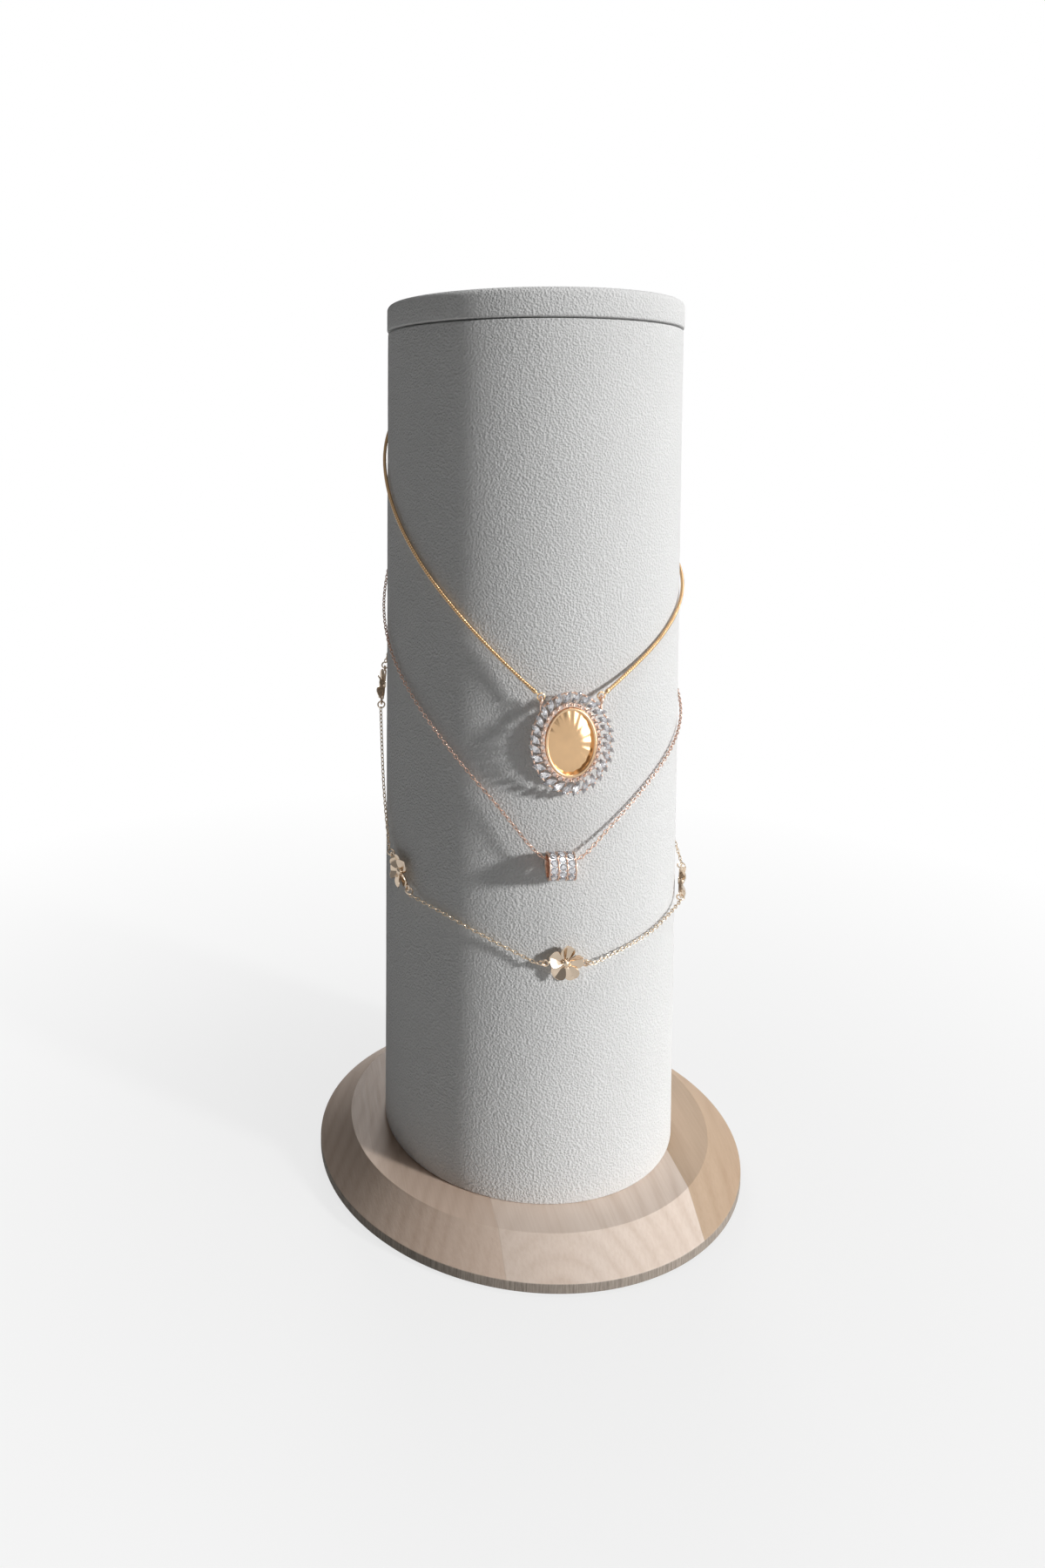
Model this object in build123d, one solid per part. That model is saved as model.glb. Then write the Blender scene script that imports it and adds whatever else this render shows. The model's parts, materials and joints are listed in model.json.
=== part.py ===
from build123d import *
import math
import os

# A round necklace display column on a turned wooden base, with a lift-off cap and three necklaces.
# Millimetres and degrees. +Z is up, the pendants face -Y, and the origin is on the floor, on the
# column's axis. Angles round the column start at the front and grow towards +X. What hangs on the
# column is placed by its drop below the joint line between the column and its cap.

# Base and its fixing
base_diameter = 146.0
base_flat_diameter = 124.5
base_thickness = 10.5
base_rim_height = 3.0
felt_thickness = 1.0
felt_inset = 7.0
screw_diameter = 6.0
screw_head_diameter = 11.0
screw_head_height = 3.3
screw_hole_clearance = 0.4
screw_tip_gap = 1.0
socket_width = 4.0
socket_depth = 2.0
washer_diameter = 18.0
washer_thickness = 1.2
pocket_clearance = 0.5
head_cover = 0.6
plug_thickness = 15.0
nut_flange_diameter = 20.0
nut_flange_thickness = 1.5
nut_barrel_diameter = 8.0
nut_barrel_length = 11.0
thread_clearance = 0.1

# Column
column_diameter = 100.0
column_height = 274.5
covering_thickness = 0.8
covering_edge_radius = 0.5
covering_hem = 10.0
seam_width = 0.3
tube_wall = 3.2
glue_gap = 0.05
cut_overrun = 1.0

# Cap
cap_height = 9.5
cap_overhang = 0.35
cap_edge_radius = 2.0
cap_hem = 12.0
spigot_height = 10.0
spigot_clearance = 0.35
spigot_chamfer = 1.0

# Pegs at the back
peg_angle = -145.0
peg_drops = (14.0, 55.0, 86.0)
peg_diameter = 1.8
peg_depth = 3.4
peg_reach = 4.9
peg_head_diameter = 4.0
peg_head_thickness = 1.4
peg_head_radius = 0.5
peg_clearance = 0.05

# Chains
chain_gap = 0.25
smooth_chain_diameter = 1.2
cable_chain_diameter = 1.4
chain_end_gap = 0.25
widest_step = 20.0
arc_share = 0.45

# Bolt-ring clasps and end rings
clasp_radius = 2.6
clasp_tube_radius = 0.85
clasp_tube_bore = 0.6
clasp_standoff = 2.4
clasp_gap_start = 120.0
clasp_gap_end = 185.0
gate_radius = 0.45
gate_inside = 30.0
gate_socket = 8.0
knob_radius = 0.35
knob_rise = 0.7
knob_inset = 6.0
knob_travel = 62.0
slot_clearance = 0.1
tail_angle = -28.0
tail_radius = 0.9
tail_wire_radius = 0.3
tail_sink = 0.2
end_ring_angle = 208.0
end_ring_radius = 1.8
end_ring_wire_radius = 0.3
ring_clearance = 0.1

# Oval pendant
pendant_drop = 127.8
pendant_gap = 0.3
plate_width = 14.0
plate_length = 19.5
plate_thickness = 2.0
plate_clearance = 0.05
bezel_wall = 0.9
bezel_depth = 3.9
ledge_width = 1.0
ledge_thickness = 0.6
halo_plate_start = 2.9
halo_plate_thickness = 0.8
halo_plate_width = 4.7
leaf_count = 28
leaf_length = 4.2
leaf_width = 2.4
leaf_crown = 0.8
leaf_pavilion = 0.7
leaf_table_share = 0.55
leaf_foot_share = 0.45
leaf_offset = 0.85
prong_radius = 0.4
prong_rise = 1.3
prong_inset = 0.45
eyelet_across = 9.3
eyelet_rise = 13.0
eyelet_radius = 1.15
eyelet_wire_radius = 0.35
stalk_radius = 0.4
stalk_sink = 0.6
jump_ring_radius = 1.1
jump_wire_radius = 0.25
left_chain_rise = 42.0
right_chain_rise = 33.0

# Barrel bead
bead_angle = -3.2
bead_drop = 165.2
bead_length = 8.3
bead_radius = 4.3
bead_bore_radius = 3.4
bead_seat_radius = 3.9
bead_rim_width = 0.4
bead_rows = 3
bead_row_stones = 11
bead_stone_radius = 1.0
bead_stone_height = 0.42
bead_stone_table_share = 0.6
bead_stone_gap = 0.02
bead_gap = 0.3
bead_chain_rise = 1.5
bead_chain_exit = 0.65

# Flower stations on the third chain
station_angles = (-105.5, -67.1, -0.5, 68.5, 124.4, 173.0)
station_drops = (124.0, 178.7, 196.5, 186.0, 148.0, 115.0)
station_tilts = (-56.0, -36.0, -2.0, 22.0, 37.0, 37.0)
flower_diameter = 11.3
flower_standoff = 2.0
petal_count = 5
petal_root = 0.8
petal_width = 4.6
petal_thickness = 0.8
petal_twist = 14.0
flower_hub_radius = 1.6
flower_hub_thickness = 1.8
flower_eyelet_radius = 0.9
flower_eyelet_wire_radius = 0.3
flower_eyelet_sink = 0.25
flower_ring_radius = 1.2
flower_ring_wire_radius = 0.25

# Hand-set chain routes on the column: angle, drop and extra distance from the column
halo_left_route = (
    (-20.0, 106.1, 0.7), (-38.0, 91.4, 0.0), (-56.0, 76.3, 0.0), (-74.0, 61.0, 0.0),
    (-92.0, 46.2, 0.0), (-109.0, 34.0, 0.0), (-125.0, 24.6, 0.0),
)
halo_right_route = (
    (20.0, 108.6, 0.7), (38.0, 99.6, 0.0), (56.0, 90.8, 0.0), (74.0, 82.8, 0.0),
    (92.0, 75.1, 0.0), (110.0, 67.0, 0.0), (128.0, 58.3, 0.0), (146.0, 49.2, 0.0),
    (164.0, 39.9, 0.0), (182.0, 30.8, 0.0), (198.0, 23.0, 0.0),
)
barrel_left_route = (
    (-125.0, 70.8, 0.0), (-109.0, 84.1, 0.0), (-92.0, 97.4, 0.0), (-74.0, 110.1, 0.0),
    (-56.0, 122.7, 0.0), (-38.0, 136.7, 0.0), (-22.0, 150.2, 0.4),
)
barrel_right_route = (
    (12.0, 157.2, 0.8), (28.0, 146.8, 0.0), (46.0, 137.4, 0.0), (64.0, 130.0, 0.0),
    (82.0, 123.0, 0.0), (100.0, 115.4, 0.0), (118.0, 107.1, 0.0), (136.0, 98.2, 0.0),
    (154.0, 88.8, 0.0), (172.0, 79.0, 0.0), (190.0, 69.0, 0.0),
)
station_routes = (
    ((-125.5, 102.6, 0.0),),
    ((-91.5, 147.5, 0.0), (-84.0, 161.2, 0.0)),
    ((-43.0, 186.2, 0.0), (-26.5, 190.8, 0.0)),
    ((26.5, 194.1, 0.0), (43.0, 191.6, 0.0)),
    ((90.7, 173.4, 0.0), (103.5, 163.6, 0.0)),
    ((143.6, 135.4, 0.0), (154.4, 127.8, 0.0)),
    ((196.0, 99.6, 0.0),),
)

# Sizes that follow from the ones above
column_radius = column_diameter / 2
base_top = felt_thickness + base_thickness
joint_height = base_top + column_height
cap_top = joint_height + cap_height
cap_radius = column_radius + cap_overhang
tube_radius = column_radius - covering_thickness - glue_gap
tube_bore_radius = tube_radius - tube_wall
hem_radius = tube_bore_radius - glue_gap
mouth_radius = hem_radius - covering_thickness
pocket_depth = washer_thickness + screw_head_height + head_cover
pocket_roof = felt_thickness + pocket_depth
screw_seat = pocket_roof - washer_thickness
plug_top = base_top + plug_thickness
halo_plate_top = halo_plate_start + halo_plate_thickness
hinge_standoff = halo_plate_start + halo_plate_thickness / 2
bezel_half_width = plate_width / 2 + plate_clearance + bezel_wall
bezel_half_length = plate_length / 2 + plate_clearance + bezel_wall
halo_inner_width = bezel_half_width + glue_gap
halo_inner_length = bezel_half_length + glue_gap
leaf_middle = leaf_length / 2 + leaf_offset
bead_standoff = bead_gap + bead_seat_radius + bead_stone_gap + bead_stone_height
stations = tuple(zip(station_angles, station_drops, station_tilts))
flower_radius = flower_diameter / 2
flower_eyelet_reach = flower_radius + flower_eyelet_radius - flower_eyelet_sink
flower_ring_reach = flower_eyelet_reach + flower_ring_radius


def seat(angle, drop, standoff):
    """Plane facing outward from the column: x to the right, y up, z away from the column."""
    turn = math.radians(angle)
    outward = Vector(math.sin(turn), -math.cos(turn), 0)
    place = outward * (column_radius + standoff) + Vector(0, 0, joint_height - drop)
    return Plane(origin=place, x_dir=(math.cos(turn), math.sin(turn), 0), z_dir=outward)


def spoke(reach, angle):
    """Vector in the XY plane of a length and an angle from X."""
    turn = math.radians(angle)
    return Vector(reach * math.cos(turn), reach * math.sin(turn), 0)


def polar(frame, reach, angle):
    """Point of a seat plane at a distance and an angle from its origin."""
    return frame.from_local_coords(spoke(reach, angle))


def turned(points, rounded=()):
    """Solid of revolution about Z from (radius, height) points; rounded lists (corner number, radius)."""
    outline = make_face(Polyline(*points, close=True))
    for corner, radius in rounded:
        spot = Vector(points[corner][0], points[corner][1], 0)
        vertex = outline.vertices().sort_by_distance(spot)[0]
        outline = fillet(vertex, radius)
    return revolve(Plane.XZ * outline, Axis.Z)


def upright(radius, low, high):
    """Cylinder on the column's axis between two heights."""
    return Pos(0, 0, (low + high) / 2) * Cylinder(radius, high - low)


def peg_holes():
    """Blind holes for the pegs, as cutting cylinders that run out past the covering."""
    hole = Cylinder(peg_diameter / 2 + peg_clearance, peg_depth + cut_overrun)
    return [seat(peg_angle, drop, (cut_overrun - peg_depth) / 2) * hole for drop in peg_drops]


def base_disc():
    rim_top = felt_thickness + base_rim_height
    rim = base_diameter / 2
    flat = base_flat_diameter / 2
    low = felt_thickness
    disc = turned([(0, low), (rim, low), (rim, rim_top), (flat, base_top), (0, base_top)])
    pocket = upright(washer_diameter / 2 + pocket_clearance, felt_thickness, pocket_roof)
    hole = upright(screw_diameter / 2 + screw_hole_clearance, pocket_roof, base_top)
    return disc - pocket - hole


def base_felt():
    return upright(base_diameter / 2 - felt_inset, 0, felt_thickness)


def fixing_washer():
    ring = upright(washer_diameter / 2, screw_seat, pocket_roof)
    return ring - upright(screw_diameter / 2 + screw_hole_clearance, screw_seat, pocket_roof)


def fixing_screw():
    head_bottom = screw_seat - screw_head_height
    shank = upright(screw_diameter / 2, screw_seat, plug_top - screw_tip_gap)
    head = upright(screw_head_diameter / 2, head_bottom, screw_seat)
    hexagon = RegularPolygon(socket_width / 2, 6, major_radius=False)
    socket = extrude(Pos(0, 0, head_bottom) * hexagon, amount=socket_depth)
    return shank + head - socket


def foot_plug():
    disc = upright(tube_bore_radius - glue_gap, base_top, plug_top)
    return disc - upright(nut_barrel_diameter / 2 + glue_gap, base_top, plug_top)


def tee_nut():
    flange = upright(nut_flange_diameter / 2, plug_top, plug_top + nut_flange_thickness)
    barrel = upright(nut_barrel_diameter / 2, plug_top - nut_barrel_length, plug_top)
    bore_low = plug_top - nut_barrel_length
    bore = upright(screw_diameter / 2 + thread_clearance, bore_low, plug_top + nut_flange_thickness)
    return flange + barrel - bore


def column_tube():
    top = joint_height - covering_thickness - glue_gap
    tube = upright(tube_radius, base_top, top) - upright(tube_bore_radius, base_top, top)
    return tube - peg_holes()


def column_covering():
    """Sleeve over the tube, turned down inside its mouth, with its butt seam at the back."""
    inside = column_radius - covering_thickness
    under = joint_height - covering_thickness
    hem_low = joint_height - covering_hem
    sleeve = turned(
        [
            (column_radius, base_top), (column_radius, joint_height), (mouth_radius, joint_height),
            (mouth_radius, hem_low), (hem_radius, hem_low), (hem_radius, under), (inside, under),
            (inside, base_top),
        ],
        [(1, covering_edge_radius), (2, covering_edge_radius)],
    )
    seam_depth = column_radius - mouth_radius + 2 * cut_overrun
    seam = Pos(0, (column_radius + mouth_radius) / 2, (base_top + joint_height) / 2)
    return sleeve - seam * Box(seam_width, seam_depth, column_height) - peg_holes()


def hang_pegs():
    pegs = []
    for drop in peg_drops:
        shank = seat(peg_angle, drop, (peg_reach - peg_depth) / 2)
        head = seat(peg_angle, drop, peg_reach + peg_head_thickness / 2)
        knob = Cylinder(peg_head_diameter / 2, peg_head_thickness)
        knob = fillet(knob.edges().group_by(Axis.Z)[-1], peg_head_radius)
        pegs.append(shank * Cylinder(peg_diameter / 2, peg_reach + peg_depth) + head * knob)
    return pegs


def cap_core():
    low = joint_height + covering_thickness
    high = cap_top - covering_thickness - glue_gap
    rim = cap_radius - covering_thickness - glue_gap
    outline = [(0, low), (rim, low), (rim, high), (0, high)]
    return turned(outline, [(2, cap_edge_radius - covering_thickness)])


def cap_covering():
    """Covering over the cap's top and side, turned in under its edge."""
    inside = cap_radius - covering_thickness
    hem = cap_radius - cap_hem
    low = joint_height + covering_thickness
    high = cap_top - covering_thickness
    outline = [
        (hem, joint_height), (cap_radius, joint_height), (cap_radius, cap_top), (0, cap_top), (0, high),
        (inside, high), (inside, low), (hem, low),
    ]
    inner_edge = cap_edge_radius - covering_thickness
    return turned(outline, [(1, covering_edge_radius), (2, cap_edge_radius), (5, inner_edge)])


def cap_spigot():
    """Disc that centres the cap in the column's mouth, with a boss up to the core inside the hem."""
    low = joint_height - spigot_height
    rim = mouth_radius - spigot_clearance
    boss = cap_radius - cap_hem - glue_gap
    high = joint_height + covering_thickness
    return turned(
        [
            (0, low), (rim - spigot_chamfer, low), (rim, low + spigot_chamfer), (rim, joint_height),
            (boss, joint_height), (boss, high), (0, high),
        ]
    )


def chain_tube(name, points, diameter):
    """Tube along straight runs joined by the largest tangent arcs that the runs allow."""
    radii = []
    for before, corner, after in zip(points, points[1:], points[2:]):
        run_in = corner - before
        run_out = after - corner
        half_turn = math.radians(run_in.get_angle(run_out) / 2)
        radii.append(arc_share * min(run_in.length, run_out.length) / math.tan(half_turn))
    path = FilletPolyline(*points, radius=radii)
    start = Plane(origin=points[0], z_dir=points[1] - points[0])
    tube = sweep(start * Circle(diameter / 2), path=path)
    plain = path.length * math.pi * diameter**2 / 4
    print(f"{name}: {path.length:.1f} mm, volume share {tube.volume / plain:.4f}, smallest radii",
          [round(r, 1) for r in sorted(radii)[:3]])
    return tube


def lying(route, diameter):
    """Points of a hand-set route, just clear of the column along its straight runs."""
    bow = column_radius * (1 / math.cos(math.radians(widest_step / 2)) - 1)
    rest = chain_gap + diameter / 2 + bow
    return [seat(angle, drop, rest + extra).origin for angle, drop, extra in route]


def clasp_frame(peg_drop):
    """Seat of a clasp that hangs on its peg by the inside of its ring."""
    hang = clasp_radius - clasp_tube_radius - peg_diameter / 2 - ring_clearance
    return seat(peg_angle, peg_drop + hang, clasp_standoff)


def tail_reach():
    return clasp_radius + clasp_tube_radius + tail_radius - tail_sink


def end_ring_reach():
    inner_wire = clasp_radius - clasp_tube_radius - end_ring_wire_radius - ring_clearance
    return inner_wire + end_ring_radius


def tail_port(peg_drop):
    """Where the left strand of a chain meets its clasp."""
    reach = tail_reach() + tail_radius + tail_wire_radius + chain_end_gap
    return polar(clasp_frame(peg_drop), reach, tail_angle)


def end_ring_port(peg_drop):
    """Where the right strand of a chain meets its end ring."""
    reach = end_ring_reach() + end_ring_radius + end_ring_wire_radius + chain_end_gap
    return polar(clasp_frame(peg_drop), reach, end_ring_angle)


def swept_section(section, start, arc):
    """Revolves a section, drawn at its radius on the XZ plane, through an arc about Z."""
    return Rot(0, 0, start) * revolve(Plane.XZ * section, Axis.Z, revolution_arc=arc)


def knob_angle():
    return clasp_gap_start - gate_inside + knob_inset


def knob_end_angle():
    return knob_angle() - knob_travel


def knob_margin():
    """Angle that the knob and its clearance take at the tube's bore."""
    return math.degrees((knob_radius + slot_clearance) / clasp_radius)


def clasp_ring(peg_drop):
    """Hollow open ring with a slot for the gate's knob and a loop for the chain."""
    wall = Pos(clasp_radius, 0) * (Circle(clasp_tube_radius) - Circle(clasp_tube_bore))
    ring = swept_section(wall, clasp_gap_end, 360 - clasp_gap_end + clasp_gap_start)
    slot_middle = clasp_radius + (clasp_tube_bore + clasp_tube_radius) / 2
    slot_width = 2 * (knob_radius + slot_clearance)
    slot_end = knob_end_angle() - knob_margin()
    slot = swept_section(
        Pos(slot_middle, 0) * Rectangle(clasp_tube_bore, slot_width), slot_end, clasp_gap_start - slot_end
    )
    tail = Pos(spoke(tail_reach(), tail_angle)) * Torus(tail_radius, tail_wire_radius)
    inside = swept_section(Pos(clasp_radius, 0) * Circle(clasp_tube_bore), 0, 360)
    return clasp_frame(peg_drop) * (ring - slot + (tail - inside))


def clasp_gate(peg_drop):
    """Round bar that closes the ring's gap and slides back inside it, with its thumb knob."""
    start = clasp_gap_start - gate_inside
    arc = clasp_gap_end + gate_socket - start
    bar = swept_section(Pos(clasp_radius, 0) * Circle(gate_radius), start, arc)
    length = clasp_tube_radius + knob_rise
    post = Pos(clasp_radius + length / 2, 0, 0) * Rot(0, 90, 0) * Cylinder(knob_radius, length)
    return clasp_frame(peg_drop) * (bar + Rot(0, 0, knob_angle()) * post)


def end_rings():
    rings = []
    for drop in peg_drops:
        frame = clasp_frame(drop)
        radial = polar(frame, 1, end_ring_angle) - frame.origin
        centre = polar(frame, end_ring_reach(), end_ring_angle)
        standing = Plane(origin=centre, x_dir=radial, z_dir=radial.cross(frame.z_dir))
        rings.append(standing * Torus(end_ring_radius, end_ring_wire_radius))
    return rings


def pendant_frame():
    return seat(0, pendant_drop, 0)


def oval_ring(outer, inner, start, depth):
    """Oval band between two pairs of half sizes."""
    return extrude(Pos(0, 0, start) * (Ellipse(*outer) - Ellipse(*inner)), amount=depth)


def oval_bezel():
    """Oval wall with a ledge at the back that carries the plate."""
    outer = (bezel_half_width, bezel_half_length)
    inner = (bezel_half_width - bezel_wall, bezel_half_length - bezel_wall)
    ledge = (inner[0] - ledge_width, inner[1] - ledge_width)
    wall = oval_ring(outer, inner, pendant_gap, bezel_depth)
    return pendant_frame() * (wall + oval_ring(outer, ledge, pendant_gap, ledge_thickness))


def oval_plate():
    outline = Pos(0, 0, pendant_gap + ledge_thickness) * Ellipse(plate_width / 2, plate_length / 2)
    return pendant_frame() * extrude(outline, amount=plate_thickness)


def evenly_round(half_width, half_length, count, shift):
    """Points spaced evenly along an ellipse from a shift of a share of a step, with their outward angles."""
    ellipse = Edge.make_ellipse(half_width, half_length)
    found = []
    for number in range(count):
        point = ellipse.position_at((number + shift) / count)
        normal = math.degrees(math.atan2(point.Y / half_length**2, point.X / half_width**2))
        found.append((point, normal))
    return found


def leaf_outline(share):
    """Pointed oval with its long axis on X, at a share of the stone's size."""
    tip = leaf_length / 2 * share
    side = leaf_width / 2 * share
    upper = ThreePointArc((-tip, 0), (0, side), (tip, 0))
    lower = ThreePointArc((tip, 0), (0, -side), (-tip, 0))
    return make_face([upper, lower])


def halo_stones():
    """Ring of pointed crystals, each with a crown and a pavilion."""
    foot = leaf_outline(leaf_foot_share)
    girdle = Pos(0, 0, leaf_pavilion) * leaf_outline(1)
    table = Pos(0, 0, leaf_pavilion + leaf_crown) * leaf_outline(leaf_table_share)
    stone = loft([foot, girdle, table], ruled=True)
    ring = evenly_round(halo_inner_width + leaf_middle, halo_inner_length + leaf_middle, leaf_count, 0.5)
    stones = []
    for point, normal in ring:
        place = Pos(point.X, point.Y, halo_plate_top) * Rot(0, 0, normal)
        stones.append(pendant_frame() * place * stone)
    return stones


def halo_setting():
    """Oval plate under the crystals, with prongs between them and the two hinge eyelets."""
    inner = (halo_inner_width, halo_inner_length)
    outer = (inner[0] + halo_plate_width, inner[1] + halo_plate_width)
    setting = oval_ring(outer, inner, halo_plate_start, halo_plate_thickness)
    prong_length = halo_plate_thickness + prong_rise
    prong = Pos(0, 0, halo_plate_start + prong_length / 2) * Cylinder(prong_radius, prong_length)
    prongs = []
    for point, _ in evenly_round(outer[0] - prong_inset, outer[1] - prong_inset, leaf_count, 0):
        prongs.append(Pos(point) * prong)
    edge = outer[1] * math.sqrt(1 - (eyelet_across / outer[0]) ** 2) - stalk_sink
    stalk_top = eyelet_rise - eyelet_radius
    eyelets = []
    for side in (-1, 1):
        eye = Pos(side * eyelet_across, eyelet_rise, hinge_standoff)
        stalk = Pos(side * eyelet_across, (edge + stalk_top) / 2, hinge_standoff)
        eyelets.append(eye * Rot(0, 90, 0) * Torus(eyelet_radius, eyelet_wire_radius))
        eyelets.append(stalk * Rot(90, 0, 0) * Cylinder(stalk_radius, stalk_top - edge))
    return pendant_frame() * (setting + prongs + eyelets)


def halo_rings():
    """Jump rings that hang the eyelets on the two chain ends."""
    rings = []
    for side in (-1, 1):
        centre = Pos(side * eyelet_across, eyelet_rise + jump_ring_radius, hinge_standoff)
        rings.append(pendant_frame() * centre * Torus(jump_ring_radius, jump_wire_radius))
    return rings


def halo_port(side, rise):
    """Where a chain end meets its jump ring, on the side that it is pulled towards."""
    turn = math.radians(rise)
    reach = jump_ring_radius + jump_wire_radius + chain_end_gap
    across = side * (eyelet_across + reach * math.cos(turn))
    up = eyelet_rise + jump_ring_radius + reach * math.sin(turn)
    return pendant_frame().from_local_coords(Vector(across, up, hinge_standoff))


def bead_frame():
    return seat(bead_angle, bead_drop, bead_standoff)


def bead_row_width():
    return (bead_length - (bead_rows + 1) * bead_rim_width) / bead_rows


def barrel_core():
    """Turned sleeve with a rim on each side of every row of crystals."""
    step = bead_rim_width + bead_row_width()
    outline = [(-bead_length / 2, bead_bore_radius)]
    for rim in range(bead_rows + 1):
        left = rim * step - bead_length / 2
        right = left + bead_rim_width
        if rim > 0:
            outline.append((left, bead_seat_radius))
        outline += [(left, bead_radius), (right, bead_radius)]
        if rim < bead_rows:
            outline.append((right, bead_seat_radius))
    outline.append((bead_length / 2, bead_bore_radius))
    return bead_frame() * revolve(make_face(Polyline(*outline, close=True)), Axis.X)


def barrel_stones():
    """Rows of round crystals between the rims."""
    stone = Cone(bead_stone_radius, bead_stone_radius * bead_stone_table_share, bead_stone_height)
    lift = bead_seat_radius + bead_stone_gap + bead_stone_height / 2
    step = bead_rim_width + bead_row_width()
    stones = []
    for row in range(bead_rows):
        across = (row - (bead_rows - 1) / 2) * step
        for number in range(bead_row_stones):
            turn = Rot(360 * (number + row / 2) / bead_row_stones, 0, 0)
            stones.append(bead_frame() * turn * Pos(across, 0, lift) * stone)
    return stones


def bead_corner(side):
    """Point just outside the bead's end where its chain turns up."""
    place = Vector(side * (bead_length / 2 + bead_chain_exit), bead_chain_rise, 0)
    return bead_frame().from_local_coords(place)


def station_place(station):
    angle, drop, tilt = station
    return seat(angle, drop, flower_standoff).location * Rot(0, 0, tilt)


def station_port(station, side):
    """Where a length of chain meets the ring on one side of a flower."""
    reach = flower_ring_reach + flower_ring_radius + flower_ring_wire_radius + chain_end_gap
    return (station_place(station) * Pos(side * reach, 0, 0)).position


def station_flower(station):
    """Flat rosette of twisted petals round a hub, with an eyelet on each side."""
    petal_length = flower_radius - petal_root
    petal = extrude(Ellipse(petal_length / 2, petal_width / 2), amount=petal_thickness / 2, both=True)
    petal = Pos(petal_root + petal_length / 2, 0, 0) * Rot(petal_twist, 0, 0) * petal
    bar_length = 2 * (flower_eyelet_reach - flower_eyelet_radius)
    flower = Cylinder(flower_hub_radius, flower_hub_thickness)
    flower += [Rot(0, 0, 90 + number * 360 / petal_count) * petal for number in range(petal_count)]
    flower += Rot(0, 90, 0) * Cylinder(flower_eyelet_wire_radius, bar_length)
    for side in (-1, 1):
        eye = Pos(side * flower_eyelet_reach, 0, 0)
        flower += eye * Torus(flower_eyelet_radius, flower_eyelet_wire_radius)
    return station_place(station) * flower


def station_rings():
    rings = []
    for station in stations:
        for side in (-1, 1):
            centre = station_place(station) * Pos(side * flower_ring_reach, 0, 0)
            rings.append(centre * Rot(90, 0, 0) * Torus(flower_ring_radius, flower_ring_wire_radius))
    return rings


def halo_chains():
    """The two chain lengths of the oval pendant's necklace."""
    peg = peg_drops[0]
    size = smooth_chain_diameter
    left = [halo_port(-1, left_chain_rise), *lying(halo_left_route, size), tail_port(peg)]
    right = [halo_port(1, right_chain_rise), *lying(halo_right_route, size), end_ring_port(peg)]
    return {
        "halo_chain_left": chain_tube("halo_chain_left", left, size),
        "halo_chain_right": chain_tube("halo_chain_right", right, size),
    }


def barrel_chain():
    """The one chain that runs through the barrel bead."""
    peg = peg_drops[1]
    size = cable_chain_diameter
    points = [tail_port(peg), *lying(barrel_left_route, size), bead_corner(-1), bead_corner(1)]
    points += [*lying(barrel_right_route, size), end_ring_port(peg)]
    return chain_tube("barrel_chain", points, size)


def station_chains():
    """The chain lengths from clasp to flower, flower to flower and flower to end ring."""
    peg = peg_drops[2]
    size = cable_chain_diameter
    starts = [tail_port(peg)] + [station_port(station, 1) for station in stations]
    ends = [station_port(station, -1) for station in stations] + [end_ring_port(peg)]
    chains = {}
    for number, (start, route, end) in enumerate(zip(starts, station_routes, ends), 1):
        name = f"station_chain_{number}"
        chains[name] = chain_tube(name, [start, *lying(route, size), end], size)
    return chains


def all_parts():
    parts = {
        "base_disc": base_disc(),
        "base_felt": base_felt(),
        "fixing_washer": fixing_washer(),
        "fixing_screw": fixing_screw(),
        "foot_plug": foot_plug(),
        "tee_nut": tee_nut(),
        "column_tube": column_tube(),
        "column_covering": column_covering(),
        "hang_pegs": hang_pegs(),
        "cap_core": cap_core(),
        "cap_covering": cap_covering(),
        "cap_spigot": cap_spigot(),
        "oval_bezel": oval_bezel(),
        "oval_plate": oval_plate(),
        "halo_setting": halo_setting(),
        "halo_stones": halo_stones(),
        "halo_rings": halo_rings(),
        "barrel_core": barrel_core(),
        "barrel_stones": barrel_stones(),
        "station_rings": station_rings(),
        "end_rings": end_rings(),
        "barrel_chain": barrel_chain(),
    }
    parts.update(halo_chains())
    parts.update(station_chains())
    for number, station in enumerate(stations, 1):
        parts[f"station_flower_{number}"] = station_flower(station)
    for necklace, drop in zip(("halo", "barrel", "station"), peg_drops):
        parts[f"{necklace}_clasp_ring"] = clasp_ring(drop)
        parts[f"{necklace}_clasp_gate"] = clasp_gate(drop)
    return parts


os.makedirs("parts", exist_ok=True)
for node, shape in all_parts().items():
    solids = Compound(children=shape) if isinstance(shape, list) else shape
    export_step(solids, f"parts/{node}.step")
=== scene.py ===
import json
import math

import bmesh
import bpy
from mathutils import Matrix, Vector, noise


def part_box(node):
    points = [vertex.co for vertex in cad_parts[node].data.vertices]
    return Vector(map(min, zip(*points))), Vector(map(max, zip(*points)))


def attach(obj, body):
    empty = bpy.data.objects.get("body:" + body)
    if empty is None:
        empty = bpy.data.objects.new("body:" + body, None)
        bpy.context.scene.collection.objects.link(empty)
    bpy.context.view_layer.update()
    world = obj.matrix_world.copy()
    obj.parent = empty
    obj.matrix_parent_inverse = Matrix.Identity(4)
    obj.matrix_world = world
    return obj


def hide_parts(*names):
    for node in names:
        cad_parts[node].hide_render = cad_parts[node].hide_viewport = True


# A round necklace display column on a turned wooden base, with a lift-off cap and three necklaces.
# Metres and degrees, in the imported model's frame: +Z is up and the pendants face -Y. Angles round
# the column start at the front and grow towards +X. What hangs on the column is placed by its drop
# below the joint line between the column and its cap.

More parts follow.
